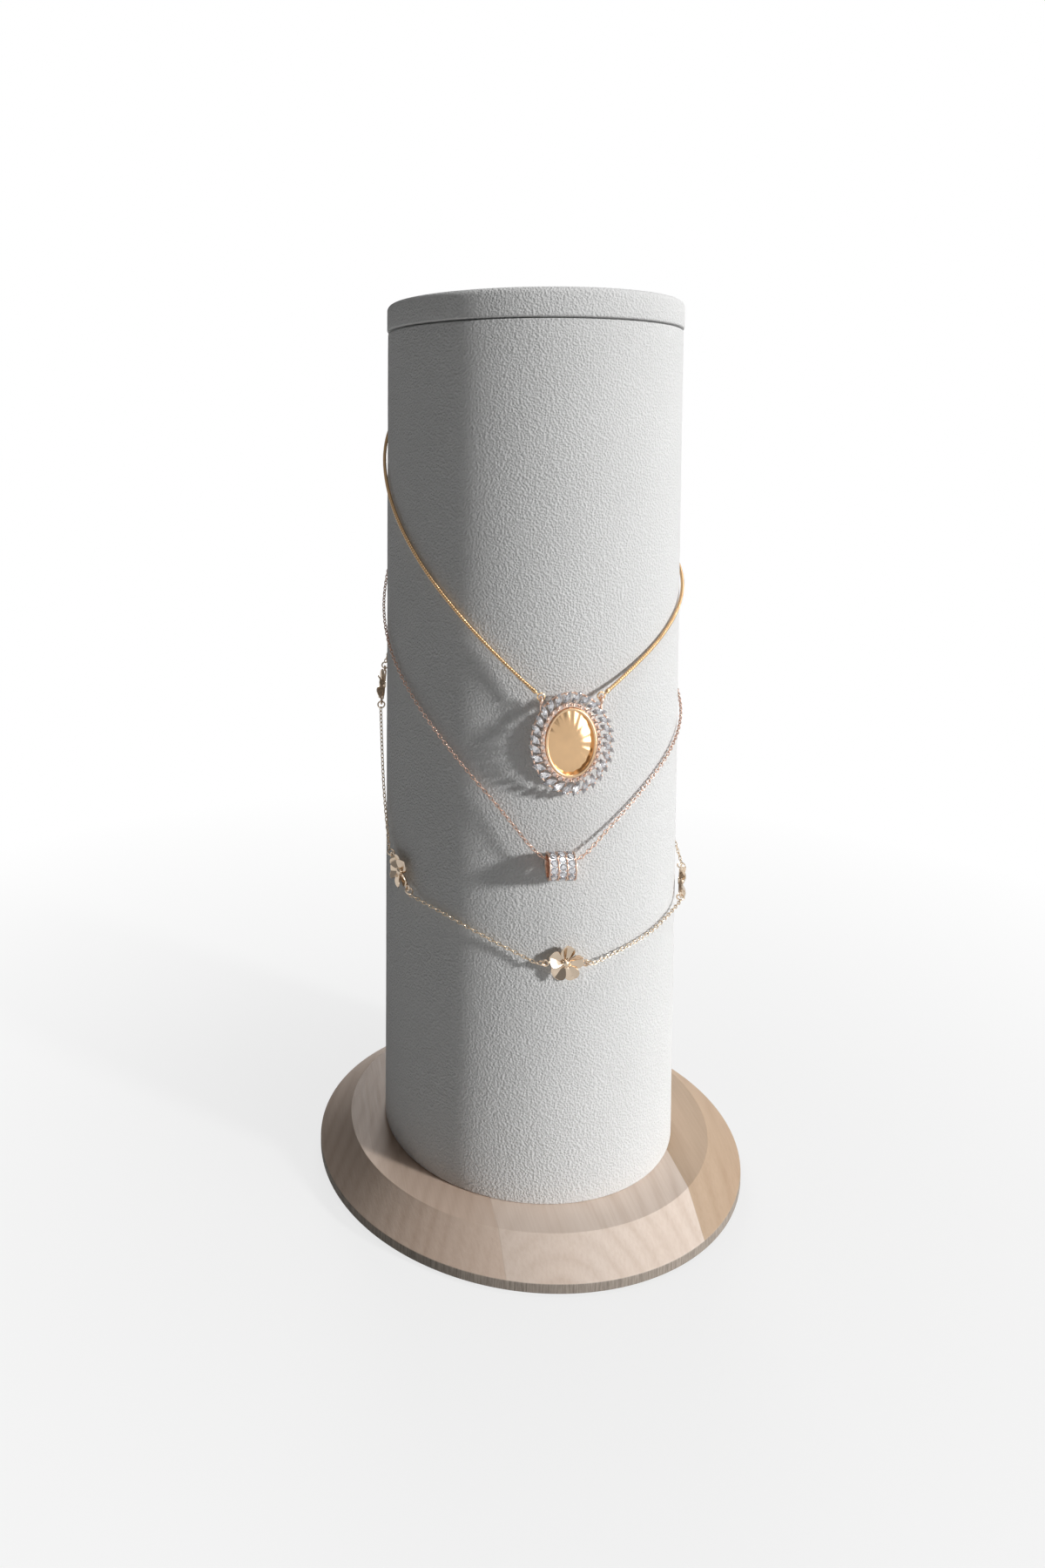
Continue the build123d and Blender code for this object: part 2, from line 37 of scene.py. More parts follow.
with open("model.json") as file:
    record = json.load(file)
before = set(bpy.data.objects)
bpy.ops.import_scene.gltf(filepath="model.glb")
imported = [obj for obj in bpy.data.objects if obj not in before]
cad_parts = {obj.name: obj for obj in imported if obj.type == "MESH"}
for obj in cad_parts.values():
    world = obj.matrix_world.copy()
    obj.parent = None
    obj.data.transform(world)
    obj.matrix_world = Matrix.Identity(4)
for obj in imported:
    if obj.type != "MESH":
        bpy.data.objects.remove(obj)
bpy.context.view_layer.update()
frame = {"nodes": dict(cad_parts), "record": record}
slot_colours = {entry["slot"]: entry["base_color"][:3] for entry in frame["record"]["materials"]}

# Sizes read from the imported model
column_low, column_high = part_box("column_covering")
column_radius = column_high.x
base_top = column_low.z
joint_height = column_high.z
cap_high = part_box("cap_covering")[1]
cap_radius = cap_high.x
cap_top = cap_high.z
base_low, base_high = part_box("base_disc")
base_radius = base_high.x
base_underside = base_low.z
washer_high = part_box("fixing_washer")[1]
washer_radius = washer_high.x
washer_top = washer_high.z

# Base disc
base_flat_radius = 0.06225
base_rim_height = 0.003
rim_top = base_underside + base_rim_height
base_edge_radius = 0.0005
screw_hole_radius = 0.0034
pocket_clearance = 0.0005
stave_width = 0.064
stave_line = -0.022
stave_colours = ((0.74, 0.60, 0.50), (0.80, 0.68, 0.59), (0.56, 0.415, 0.295))
glue_line = (0.00006, 0.0002)
# Height over which the painted shade of the rim fades into the face
rim_shade_blend = 0.0001

# Coverings of the column and its cap
covering_thickness = 0.0008
covering_lip = 0.0006
covering_hem = 0.010
skin_margin = 0.0001
mouth_radius = 0.0451
cleft_depth = 0.003
cleft_height = 0.0005
seam_turn = math.pi / 2
seam_half_width = 0.00016
seam_depth = 0.0006
seam_roll = 0.00007
seam_roll_place = 0.0008
seam_roll_width = 0.0007
broad_ruffles = 26
fine_ruffles = 90
fine_ruffle_share = 0.5
column_ruffle = 0.00007
cap_ruffle = 0.00008
cap_hem = 0.012
cap_edge_radius = 0.002

# Clasps and pegs
peg_angle = -145.0
peg_drops = (0.014, 0.055, 0.086)
clasp_hang = 0.00075
clasp_standoff = 0.0024
tail_port_reach = 0.0056
tail_angle = -28.0
end_port_reach = 0.0055
end_ring_angle = 208.0

# Chains; the cup and sleeve profiles are shares of their radius and half length
chain_gap = 0.00025
smooth_chain_diameter = 0.0012
cable_chain_diameter = 0.0014
widest_step = 20.0
link_length = 0.00205
link_width = 0.00128
link_wire_radius = 0.00017
link_lean = 45.0
snake_pitch = 0.0009
snake_cup = ((0.72, -1.0), (0.94, -0.75), (1.0, -0.2), (0.97, 0.45), (0.84, 0.85), (0.72, 1.0))
snake_end_length = 0.002
snake_sleeve_place = snake_end_length * 0.6
snake_sleeve_half = snake_end_length * 0.42
snake_sleeve = ((0.0, -1.0), (0.9, -1.0), (1.12, -0.8), (1.12, 0.8), (0.9, 1.0), (0.0, 1.0))
snake_loop_radius = 0.00055
snake_loop_wire = 0.00016

# Oval pendant
pendant_drop = 0.1278
oval_steps = 216
bezel_half_width = 0.00795
bezel_half_length = 0.0107
bezel_wall = 0.0009
bezel_back = 0.0003
bezel_front = 0.0042
ledge_width = 0.0019
ledge_edge = 0.00015
plate_back = 0.0009
plate_front = 0.0029
plate_dome = 0.0007
plate_dome_power = 2.6
plate_rings = (0.12, 0.25, 0.38, 0.5, 0.62, 0.73, 0.83, 0.91, 0.97, 1.0)
plate_flutes = 18
plate_flute_depth = 0.00005
halo_back = 0.0029
halo_front = 0.0037
halo_band_width = 0.0014
halo_band_edge = 0.0002
halo_wire_radius = 0.00024
spoke_length = 0.0037
spoke_radius = 0.0002
leaf_count = 28
leaf_length = 0.0047
leaf_width = 0.0020
leaf_sweep = -38.0
leaf_tilts = (3.0, -9.0)
leaf_crown = 0.0008
leaf_pavilion = 0.0007
leaf_ring = (0.01145, 0.0142)
underside_limit = -0.05
accent_ring = (0.00885, 0.0116)
accent_radius = 0.00078
accent_height = 0.0008
accent_sink = 0.0002
accent_grain_radius = 0.00032
accent_grain_lift = 0.0003
prong_ring = (0.0122, 0.0152)
prong_start = 0.60
prong_radius = 0.00034
prong_top = 0.005
eyelet_across = 0.0093
eyelet_rise = 0.013
eyelet_radius = 0.00115
eyelet_wire_radius = 0.00035
stalk_radius = 0.0004
hinge_standoff = 0.0033
jump_ring_radius = 0.0011
halo_port_reach = 0.0016
left_chain_rise = 42.0
right_chain_rise = 33.0

# Barrel bead
bead_angle = -3.2
bead_drop = 0.1652
bead_standoff = 0.00464
bead_length = 0.0083
bead_radius = 0.0043
bead_bore_radius = 0.0034
bead_seat_radius = 0.0039
bead_seat_margin = 0.0001
bead_seat_facing = 0.9
bead_rim_width = 0.0004
bead_edge_radius = 0.00014
bead_rows = 3
bead_row_stones = 11
bead_stone_radius = 0.00108
bead_stone_lift = 0.00392
bead_stone_height = 0.00045
bead_grain_radius = 0.0002
bead_grain_lift = bead_stone_lift + 0.0001
bead_grain_spread = 0.36
bead_corner_across = 0.0054
bead_corner_rise = 0.0009

# Flower stations; the hub's profile is shares of its radius, with heights
station_angles = (-105.5, -67.1, -0.5, 68.5, 124.4, 173.0)
station_drops = (0.124, 0.1787, 0.1965, 0.186, 0.148, 0.115)
station_tilts = (-56.0, -36.0, -2.0, 22.0, 37.0, 37.0)
station_standoff = 0.002
station_port_reach = 0.0092
flower_radius = 0.00565
petal_count = 5
petal_root = 0.0006
petal_sink = 0.0003
petal_width = 0.0049
petal_belly = 1.35
petal_bluntness = 0.6
petal_thickness = 0.0006
petal_edge_thinning = 0.8
petal_tip_share = 0.35
petal_tip_slope = 4
petal_twist = 15.0
petal_cup = 0.0010
petal_lift = 0.0008
hub_radius = 0.00115
hub_profile = (
    (0.0, -0.0009), (0.9, -0.0009), (1.0, -0.0006), (1.0, 0.0005), (0.85, 0.0008), (0.5, 0.00105),
    (0.0, 0.00115),
)
hub_grains = 10
hub_grain_radius = 0.00022
hub_grain_ring = hub_radius * 1.12
hub_grain_lift = 0.0006
flower_bar_radius = 0.0003
flower_bar_sink = 0.0004
flower_eyelet_radius = 0.0009
flower_eyelet_wire = 0.0003
flower_eyelet_reach = 0.0063

# Chain routes on the column: angle, drop and extra distance from the column
halo_left_route = (
    (-20.0, 0.1061, 0.0007), (-38.0, 0.0914, 0.0), (-56.0, 0.0763, 0.0), (-74.0, 0.0610, 0.0),
    (-92.0, 0.0462, 0.0), (-109.0, 0.0340, 0.0), (-125.0, 0.0246, 0.0),
)
halo_right_route = (
    (20.0, 0.1086, 0.0007), (38.0, 0.0996, 0.0), (56.0, 0.0908, 0.0), (74.0, 0.0828, 0.0),
    (92.0, 0.0751, 0.0), (110.0, 0.0670, 0.0), (128.0, 0.0583, 0.0), (146.0, 0.0492, 0.0),
    (164.0, 0.0399, 0.0), (182.0, 0.0308, 0.0), (198.0, 0.0230, 0.0),
)
barrel_left_route = (
    (-125.0, 0.0708, 0.0), (-109.0, 0.0841, 0.0), (-92.0, 0.0974, 0.0), (-74.0, 0.1101, 0.0),
    (-56.0, 0.1227, 0.0), (-38.0, 0.1367, 0.0), (-22.0, 0.1502, 0.0004),
)
barrel_right_route = (
    (12.0, 0.1572, 0.0008), (28.0, 0.1468, 0.0), (46.0, 0.1374, 0.0), (64.0, 0.1300, 0.0),
    (82.0, 0.1230, 0.0), (100.0, 0.1154, 0.0), (118.0, 0.1071, 0.0), (136.0, 0.0982, 0.0),
    (154.0, 0.0888, 0.0), (172.0, 0.0790, 0.0), (190.0, 0.0690, 0.0),
)
station_routes = (
    ((-125.5, 0.1026, 0.0),),
    ((-91.5, 0.1475, 0.0), (-84.0, 0.1612, 0.0)),
    ((-43.0, 0.1862, 0.0), (-26.5, 0.1908, 0.0)),
    ((26.5, 0.1941, 0.0), (43.0, 0.1916, 0.0)),
    ((90.7, 0.1734, 0.0), (103.5, 0.1636, 0.0)),
    ((143.6, 0.1354, 0.0), (154.4, 0.1278, 0.0)),
    ((196.0, 0.0996, 0.0),),
)
halo_lengths = (0.1503, 0.2019)

# Key lamp as seen from the column, and how bright the surroundings are
key_angle = 52.0
key_elevation = 18.0
key_distance = 2.0
key_spread = 6.4
key_strength = 2.9
glow_angle = 64.0
glow_elevation = 30.0
glow_reach = (0.25, 0.8)
glow_levels = (0.22, 1.0)
stone_level = 0.9
fill_level = 0.055

# Floor: how white it shows beside the object and in metal, and where it fades to white
floor_radius = 6.0
floor_colour = (0.6, 0.6, 0.595)
floor_white = 0.77
mirrored_white = 0.55
floor_fade = (0.08, 0.4)

# Camera: its place round the column's axis, its aim and its lens
view_angle = -13.5
view_distance = 0.3854
view_height = 0.2485
view_yaw = 7.845
view_pitch = -2.799
view_roll = 0.156
view_nearest = 0.01
view_farthest = 50.0
sensor_width = 36.0
lens_length = 25.286
lens_shift = (0.0909, -0.1833)


class Shape:
    """Points and faces gathered from several simple forms."""

    def __init__(self, *forms):
        self.points = []
        self.faces = []
        for form in forms:
            self.add(form)

    def add(self, form, place=None):
        points, faces = form
        start = len(self.points)
        self.points += [place @ point for point in points] if place else points
        self.faces += [[start + corner for corner in face] for face in faces]


def spin(angle, axis):
    return Matrix.Rotation(math.radians(angle), 4, axis)


def shift(across, up, out):
    return Matrix.Translation((across, up, out))


def outward_from_axis(point):
    return Vector((point.x, point.y, 0)).normalized()


def seat(angle, drop, standoff):
    """Frame facing outward from the column: x to the right, y up, z away from the column."""
    turn = math.radians(angle)
    across = Vector((math.cos(turn), math.sin(turn), 0))
    outward = Vector((math.sin(turn), -math.cos(turn), 0))
    up = Vector((0, 0, 1))
    place = outward * (column_radius + standoff) + up * (joint_height - drop)
    return Matrix.Translation(place) @ Matrix((across, up, outward)).transposed().to_4x4()


def loft(rows, looped=False, capped=False, split=False):
    """Skin over rows of points that each close on themselves; a row of one point is a tip."""
    points = [point for row in rows for point in row]
    starts = [sum(len(row) for row in rows[:number]) for number in range(len(rows))]
    pairs = [(number, number + 1) for number in range(len(rows) - 1)]
    if looped:
        pairs.append((len(rows) - 1, 0))
    faces = []
    for low, high in pairs:
        count = max(len(rows[low]), len(rows[high]))
        for here in range(count):
            after = (here + 1) % count
            a, b = [starts[low] + spot % len(rows[low]) for spot in (here, after)]
            d, c = [starts[high] + spot % len(rows[high]) for spot in (here, after)]
            if len(rows[low]) == 1:
                faces.append((a, c, d))
            elif len(rows[high]) == 1:
                faces.append((a, b, d))
            elif split:
                faces += [(a, b, d), (b, c, d)]
            else:
                faces.append((a, b, c, d))
    if capped:
        faces.append(tuple(reversed(range(len(rows[0])))))
        faces.append(tuple(starts[-1] + number for number in range(len(rows[-1]))))
    return points, faces


def circle(radius, height, steps, turn=0.0):
    """Row of points round Z, or one point where the radius is nothing."""
    if radius == 0:
        return [Vector((0, 0, height))]
    angles = [turn + 2 * math.pi * step / steps for step in range(steps)]
    return [Vector((radius * math.cos(a), radius * math.sin(a), height)) for a in angles]


def turned(profile, steps, looped=False):
    """Form of (radius, height) pairs turned about Z."""
    return loft([circle(radius, height, steps) for radius, height in profile], looped)


def scaled(profile, radius, height):
    """Profile of shares brought to a radius and a height."""
    return [(radius * out, height * up) for out, up in profile]


def rod(radius, low, high, steps):
    """Plain round bar along Z."""
    return turned([(0.0, low), (radius, low), (radius, high), (0.0, high)], steps)


def arc(centre, radius, start, end, steps):
    """Points of an arc of a profile."""
    found = []
    for step in range(steps + 1):
        turn = math.radians(start + (end - start) * step / steps)
        found.append((centre[0] + radius * math.cos(turn), centre[1] + radius * math.sin(turn)))
    return found


def eased(corners, radius, steps=3):
    """Closed profile with each of its corners rounded."""
    profile = []
    for number, corner in enumerate(corners):
        here = Vector(corner)
        back = (Vector(corners[number - 1]) - here).normalized()
        ahead = (Vector(corners[(number + 1) % len(corners)]) - here).normalized()
        half = back.angle(ahead) / 2
        start = here + back * (radius / math.tan(half))
        end = here + ahead * (radius / math.tan(half))
        for step in range(steps + 1):
            share = step / steps
            profile.append(start * (1 - share) ** 2 + here * 2 * share * (1 - share) + end * share**2)
    return [tuple(point) for point in profile]


def flat_section(inner, outer, low, high, edge, steps=3):
    """Section of a flat band as (outward, upward) pairs, with its corners rounded."""
    return eased([(inner, low), (outer, low), (outer, high), (inner, high)], edge, steps)


def round_section(radius, sides, lift=0.0):
    """Section of a round wire as (outward, upward) pairs."""
    angles = [2 * math.pi * side / sides for side in range(sides)]
    return [(radius * math.cos(a), radius * math.sin(a) + lift) for a in angles]


def oval_line(half_width, half_length, steps):
    """Points of an oval in the XY plane with their outward directions."""
    line = []
    for step in range(steps):
        turn = 2 * math.pi * step / steps
        point = Vector((half_width * math.cos(turn), half_length * math.sin(turn), 0))
        out = Vector((math.cos(turn) / half_width, math.sin(turn) / half_length, 0))
        line.append((point, out.normalized()))
    return line


def ringed(line, section):
    """Section of (outward, upward) pairs carried round a closed line in the XY plane."""
    up = Vector((0, 0, 1))
    rows = [[point + out * a + up * b for a, b in section] for point, out in line]
    return loft(rows, looped=True)


def wire_ring(radius, wire_radius, steps=28, sides=10):
    return ringed(oval_line(radius, radius, steps), round_section(wire_radius, sides))


def metal_grain(radius, steps=10, rings=5):
    """Small round grain of metal."""
    rows = [circle(0, -radius, steps)]
    for ring in range(1, rings):
        turn = math.pi * (ring / rings - 0.5)
        rows.append(circle(radius * math.cos(turn), radius * math.sin(turn), steps))
    rows.append(circle(0, radius, steps))
    return loft(rows)


def step_lengths(line):
    return [(after - here).length for here, after in zip(line, line[1:])]


def walk(line, goals):
    """Places at growing distances along a line: points with the line's direction there."""
    steps = step_lengths(line)
    found = []
    spot = 0
    walked = 0.0
    for goal in goals:
        while spot < len(steps) - 1 and walked + steps[spot] < goal:
            walked += steps[spot]
            spot += 1
        point = line[spot].lerp(line[spot + 1], (goal - walked) / steps[spot])
        found.append((point, (line[spot + 1] - line[spot]).normalized()))
    return found


def along_line(line, inset, pitch):
    """Even places on a line between points set in from its ends, with their directions."""
    last = sum(step_lengths(line)) - inset
    count = max(1, round((last - inset) / pitch))
    return walk(line, [inset + (last - inset) * number / count for number in range(count + 1)])


def line_ends(line, inset):
    """The two places set in from a line's ends, with their directions."""
    return along_line(line, inset, pitch=math.inf)


def evenly_round(half_width, half_length, count, start):
    """Places spaced evenly along an oval from a share of a step, with their outward angles."""
    line = [point for point, _ in oval_line(half_width, half_length, 720)]
    line.append(line[0])
    total = sum(step_lengths(line))
    found = []
    for point, _ in walk(line, [total * (number + start) / count for number in range(count)]):
        normal = math.degrees(math.atan2(point.y / half_length**2, point.x / half_width**2))
        found.append((point, normal))
    return found


def piece(name, shape, material, body, replaced, flat=False, crease=None):
    """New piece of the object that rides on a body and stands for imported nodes."""
    mesh = bpy.data.meshes.new(name)
    mesh.from_pydata(shape.points, [], shape.faces)
    builder = bmesh.new()
    builder.from_mesh(mesh)
    bmesh.ops.recalc_face_normals(builder, faces=builder.faces)
    builder.to_mesh(mesh)
    builder.free()
    if flat:
        mesh.shade_flat()
    else:
        mesh.shade_smooth()
    if crease:
        mesh.set_sharp_from_angle(angle=math.radians(crease))
    mesh.materials.append(material)
    thing = bpy.data.objects.new(name, mesh)
    bpy.context.scene.collection.objects.link(thing)
    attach(thing, body)
    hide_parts(*replaced)
    return thing


def coat(thing, finish, chosen):
    """Second finish on the chosen faces of a piece."""
    thing.data.materials.append(finish)
    for face in thing.data.polygons:
        if chosen(face):
            face.material_index = 1


def line_with_foil(stones, backing, outward):
    """Give the undersides of set stones their foil; outward tells which way a place faces."""
    coat(stones, backing, lambda face: face.normal.dot(outward(face.center)) < underside_limit)


class Nodes:
    """Short calls for building a tree of shader nodes."""

    def __init__(self, tree):
        self.tree = tree

    def node(self, kind, **settings):
        made = self.tree.nodes.new(kind)
        for name, value in settings.items():
            setattr(made, name, value)
        return made

    def feed(self, target, value):
        """Link a socket, or set its constant."""
        if isinstance(value, bpy.types.NodeSocket):
            self.tree.links.new(value, target)
        else:
            target.default_value = value

    def filled(self, kind, inputs, **settings):
        """Outputs of a new node whose named inputs are linked or set."""
        made = self.node(kind, **settings)
        for name, value in inputs.items():
            self.feed(made.inputs[name], value)
        return made.outputs

    def operate(self, kind, operation, *values):
        made = self.node(kind, operation=operation)
        for socket, value in zip(made.inputs, values):
            self.feed(socket, value)
        return made.outputs

    def math(self, operation, *values):
        return self.operate("ShaderNodeMath", operation, *values)["Value"]

    def span(self, value, to_low, to_high, low=0.3, high=0.7, kind="LINEAR"):
        """Number brought from one range to another; most textures keep to the first one given."""
        inputs = {"Value": value, "From Min": low, "From Max": high, "To Min": to_low, "To Max": to_high}
        return self.filled("ShaderNodeMapRange", inputs, interpolation_type=kind)["Result"]

    def between(self, share, first, second):
        """Number at a share of the way from one to another."""
        return self.filled("ShaderNodeMix", {"Factor": share, "A": first, "B": second})["Result"]

    def rays(self):
        """Which rays go to the eye, which by way of metal or stones, and which through stones."""
        path = self.node("ShaderNodeLightPath").outputs
        through = path["Is Transmission Ray"]
        return path["Is Camera Ray"], self.math("MAXIMUM", path["Is Glossy Ray"], through), through


class Finish(Nodes):
    """One material, built from nodes round its shader."""

    def __init__(self, name):
        self.material = bpy.data.materials.new(name)
        self.material.use_nodes = True
        super().__init__(self.material.node_tree)
        self.shader = self.tree.nodes["Principled BSDF"]

    def set(self, **values):
        """Constant or linked values of the shader, with underscores for spaces."""
        for name, value in values.items():
            self.feed(self.shader.inputs[name.replace("_", " ")], value)

    def place(self, stretch=(1, 1, 1), turn=(0, 0, 0), start=(0, 0, 0)):
        """Coordinates fixed to the object, in metres, stretched, turned and moved."""
        inputs = {
            "Vector": self.node("ShaderNodeTexCoord").outputs["Object"],
            "Scale": stretch,
            "Rotation": [math.radians(angle) for angle in turn],
            "Location": start,
        }
        return self.filled("ShaderNodeMapping", inputs)["Vector"]

    def axes(self):
        """X, Y and Z of the object's coordinates."""
        return self.filled("ShaderNodeSeparateXYZ", {"Vector": self.place()})

    def pair(self, x, y):
        return self.filled("ShaderNodeCombineXYZ", {"X": x, "Y": y})["Vector"]

    def noise(self, place, scale, detail, roughness=0.5, distortion=0.0):
        inputs = {
            "Vector": place, "Scale": scale, "Detail": detail, "Roughness": roughness,
            "Distortion": distortion,
        }
        return self.filled("ShaderNodeTexNoise", inputs)["Fac"]

    def cells(self, place, scale, smoothness):
        inputs = {"Vector": place, "Scale": scale, "Smoothness": smoothness}
        return self.filled("ShaderNodeTexVoronoi", inputs, feature="SMOOTH_F1")["Distance"]

    def ramp(self, value, *stops, kind="LINEAR"):
        """Colours along a value: (place, colour) pairs."""
        made = self.node("ShaderNodeValToRGB")
        self.feed(made.inputs["Fac"], value)
        band = made.color_ramp
        band.interpolation = kind
        while len(band.elements) < len(stops):
            band.elements.new(1.0)
        for spot, (position, colour) in zip(band.elements, stops):
            spot.position = position
            spot.color = (*colour, 1)
        return made.outputs["Color"]

    def shade(self, value, dark, light, low=0.3, high=0.7):
        """Colour that goes from dark to light as a value grows."""
        return self.ramp(value, (low, dark), (high, light))

    def mix(self, share, first, second, blend="MIX"):
        made = self.node("ShaderNodeMix", data_type="RGBA", blend_type=blend)
        self.feed(made.inputs["Factor"], share)
        for name, value in (("A", first), ("B", second)):
            socket = [s for s in made.inputs if s.name == name and s.type == "RGBA"][0]
            self.feed(socket, value if isinstance(value, bpy.types.NodeSocket) else (*value, 1))
        return [s for s in made.outputs if s.type == "RGBA"][0]

    def bump(self, height, depth):
        inputs = {"Strength": 1.0, "Distance": depth, "Height": height}
        return self.filled("ShaderNodeBump", inputs)["Normal"]


def toned(slot, share):
    """A slot's colour from the record, made lighter or darker."""
    return tuple(min(1.0, channel * share) for channel in slot_colours[slot])


def microfibre():
    """Matt pale nap with a fine pebbled grain."""
    made = Finish("microfibre")
    place = made.place()
    pebbles = made.cells(place, scale=1450, smoothness=0.5)
    fibres = made.noise(place, scale=3400, detail=4, roughness=0.65)
    clouds = made.noise(place, scale=38, detail=3, roughness=0.6)
    grain = made.math("MULTIPLY_ADD", fibres, 0.6, pebbles)
    tone = made.math("MULTIPLY_ADD", clouds, 0.6, made.math("MULTIPLY", pebbles, 0.5))
    made.set(
        Base_Color=made.shade(tone, (0.78, 0.78, 0.775), (0.83, 0.83, 0.825), low=0.2, high=0.75),
        Roughness=made.span(fibres, 0.82, 0.95),
        Diffuse_Roughness=0.4,
        Specular_IOR_Level=0.12,
        Normal=made.bump(grain, depth=0.0003),
    )
    return made.material


def beech():
    """Pale glued staves with soft growth bands, and an edge darkened with painted shade, with fine
    upright lines.
    """
    made = Finish("beech")
    plain = (1.0, 1.0, 1.0)
    x, y, z = made.axes()
    over = made.math("SUBTRACT", x, stave_line)
    stave = made.math("FLOOR", made.math("DIVIDE", over, stave_width))
    apart = made.pair(made.math("MULTIPLY", stave, 0.031), made.math("MULTIPLY", stave, 0.43))
    heart = made.place(turn=(14, 5, 16), start=(-0.012, 0.0, 0.026))
    log = made.operate("ShaderNodeVectorMath", "ADD", heart, apart)["Vector"]
    growth = {"Vector": log, "Scale": 70, "Distortion": 7.0, "Detail": 1.5, "Detail Scale": 0.22}
    bands = made.filled(
        "ShaderNodeTexWave", growth, wave_type="RINGS", rings_direction="Y", wave_profile="SIN"
    )["Fac"]
    lengthwise = made.place(stretch=(1100, 40, 1100), turn=(3, 2, 9))
    fibre = made.noise(lengthwise, scale=1.0, detail=4, roughness=0.6)
    patches = made.noise(log, scale=34, detail=2)
    clouds = made.noise(made.place(stretch=(1, 0.35, 1)), scale=30, detail=2)
    figure = made.ramp(
        bands, (0.0, (0.935, 0.91, 0.89)), (0.3, (0.98, 0.97, 0.965)), (1.0, (1.03, 1.03, 1.03))
    )
    face = made.mix(made.span(patches, 0.15, 1.0, low=0.4, high=0.62), plain, figure)
    soft = made.shade(clouds, (0.95, 0.91, 0.88), plain)
    threads = made.shade(fibre, (0.94, 0.92, 0.90), plain, low=0.32, high=0.6)
    stave_share = made.span(stave, 0.0, 1.0, low=-1.0, high=1.0)
    tones = made.ramp(stave_share, *zip((0.0, 0.4, 1.0), stave_colours), kind="CONSTANT")
    for layer in (soft, threads, tones):
        face = made.mix(1.0, face, layer, "MULTIPLY")
    from_line = made.math("PINGPONG", over, stave_width / 2)
    face = made.mix(made.span(from_line, 0.3, 0.0, *glue_line), face, toned("beech", 0.7))
    round_rim = made.math("MULTIPLY", made.math("ARCTAN2", y, x), 110.0)
    up_rim = made.math("MULTIPLY", z, 90.0)
    lines = made.noise(made.pair(round_rim, up_rim), scale=1.6, detail=3, roughness=0.7)
    # The rim's colour is partly painted shade: a much darker, greyer brown than the face, with the wood's
    # fine upright lines in it.
    edge = made.ramp(
        lines, (0.3, (0.20, 0.17, 0.145)), (0.5, (0.34, 0.29, 0.245)), (0.72, (0.47, 0.40, 0.34))
    )
    rim_shade_mask = made.span(z, 1.0, 0.0, rim_top - rim_shade_blend, rim_top + rim_shade_blend)
    relief = made.math("MULTIPLY_ADD", bands, 0.2, fibre)
    made.set(
        Base_Color=made.mix(rim_shade_mask, face, edge),
        Roughness=made.span(fibre, 0.5, 0.65),
        Specular_IOR_Level=0.3,
        Normal=made.bump(relief, depth=0.00004),
    )
    return made.material


def polished(name, slot, roughness, tint):
    """Plated metal with faint handling marks."""
    made = Finish(name)
    # The tint sets the metal's hue; for the chain links it also darkens the colour as painted shade.
    colour = [channel * share for channel, share in zip(slot_colours[slot], tint)]
    worn = [channel * 0.92 for channel in colour]
    wiped = made.place(stretch=(1, 1, 3.5), turn=(20, 35, 10))
    marks = made.noise(wiped, scale=1800, detail=3, roughness=0.7)
    clouds = made.noise(made.place(), scale=160, detail=2)
    made.set(
        Base_Color=made.shade(clouds, worn, colour),
        Metallic=1.0,
        Roughness=made.span(marks, roughness, roughness + 0.05, low=0.35),
        Normal=made.bump(marks, depth=0.000004),
    )
    return made.material


def crystal():
    """Clear cut stone with a trace of haze inside."""
    made = Finish("crystal")
    haze = made.noise(made.place(), scale=900, detail=2)
    made.set(
        Base_Color=made.shade(haze, (0.93, 0.93, 0.96), (1.0, 1.0, 1.0)),
        Roughness=made.span(haze, 0.0, 0.02),
        Transmission_Weight=0.8,
        IOR=1.9,
    )
    return made.material


def foil():
    """Silver foil under the stones, with faint creases."""
    made = Finish("foil")
    creases = made.noise(made.place(), scale=2200, detail=3, roughness=0.6)
    made.set(
        Base_Color=made.shade(creases, (0.86, 0.86, 0.89), (0.97, 0.97, 0.98)),
        Metallic=1.0,
        Roughness=made.span(creases, 0.02, 0.08),
    )
    return made.material


def felt():
    """Short dark felt with loose fibres."""
    made = Finish("felt")
    hairs = made.noise(made.place(), scale=1500, detail=5, roughness=0.75, distortion=0.6)
    made.set(
        Base_Color=made.shade(hairs, toned("felt", 0.7), toned("felt", 1.25)),
        Roughness=made.span(hairs, 0.88, 1.0),
        Sheen_Weight=0.3,
        Normal=made.bump(hairs, depth=0.0002),
    )
    return made.material


def paperboard():
    """Wound paper tube with its turns and loose fibres."""
    made = Finish("paperboard")
    x, y, z = made.axes()
    climb = made.math("MULTIPLY_ADD", made.math("ARCTAN2", y, x), 0.0095, z)
    plies = made.math("PINGPONG", climb, 0.03)
    fibres = made.noise(made.place(stretch=(1, 1, 0.4)), scale=700, detail=4, roughness=0.7)
    tone = made.math("MULTIPLY_ADD", made.math("LESS_THAN", plies, 0.0004), -0.3, fibres)
    dark = toned("paperboard", 0.7)
    made.set(
        Base_Color=made.shade(tone, dark, toned("paperboard", 1.08), low=0.2, high=0.65),
        Roughness=made.span(fibres, 0.8, 0.95),
        Normal=made.bump(tone, depth=0.00012),
    )
    return made.material


def fibreboard():
    """Raw pressed board with short fibres and darker flecks."""
    made = Finish("fibreboard")
    fibres = made.noise(made.place(), scale=900, detail=5, roughness=0.8)
    flecks = made.cells(made.place(stretch=(1, 2.4, 1), turn=(0, 0, 30)), scale=500, smoothness=0.2)
    tone = made.math("MULTIPLY_ADD", flecks, 0.35, made.math("MULTIPLY", fibres, 0.75))
    made.set(
        Base_Color=made.shade(tone, toned("fibreboard", 0.75), toned("fibreboard", 1.1)),
        Roughness=made.span(fibres, 0.78, 0.92),
        Normal=made.bump(tone, depth=0.00008),
    )
    return made.material


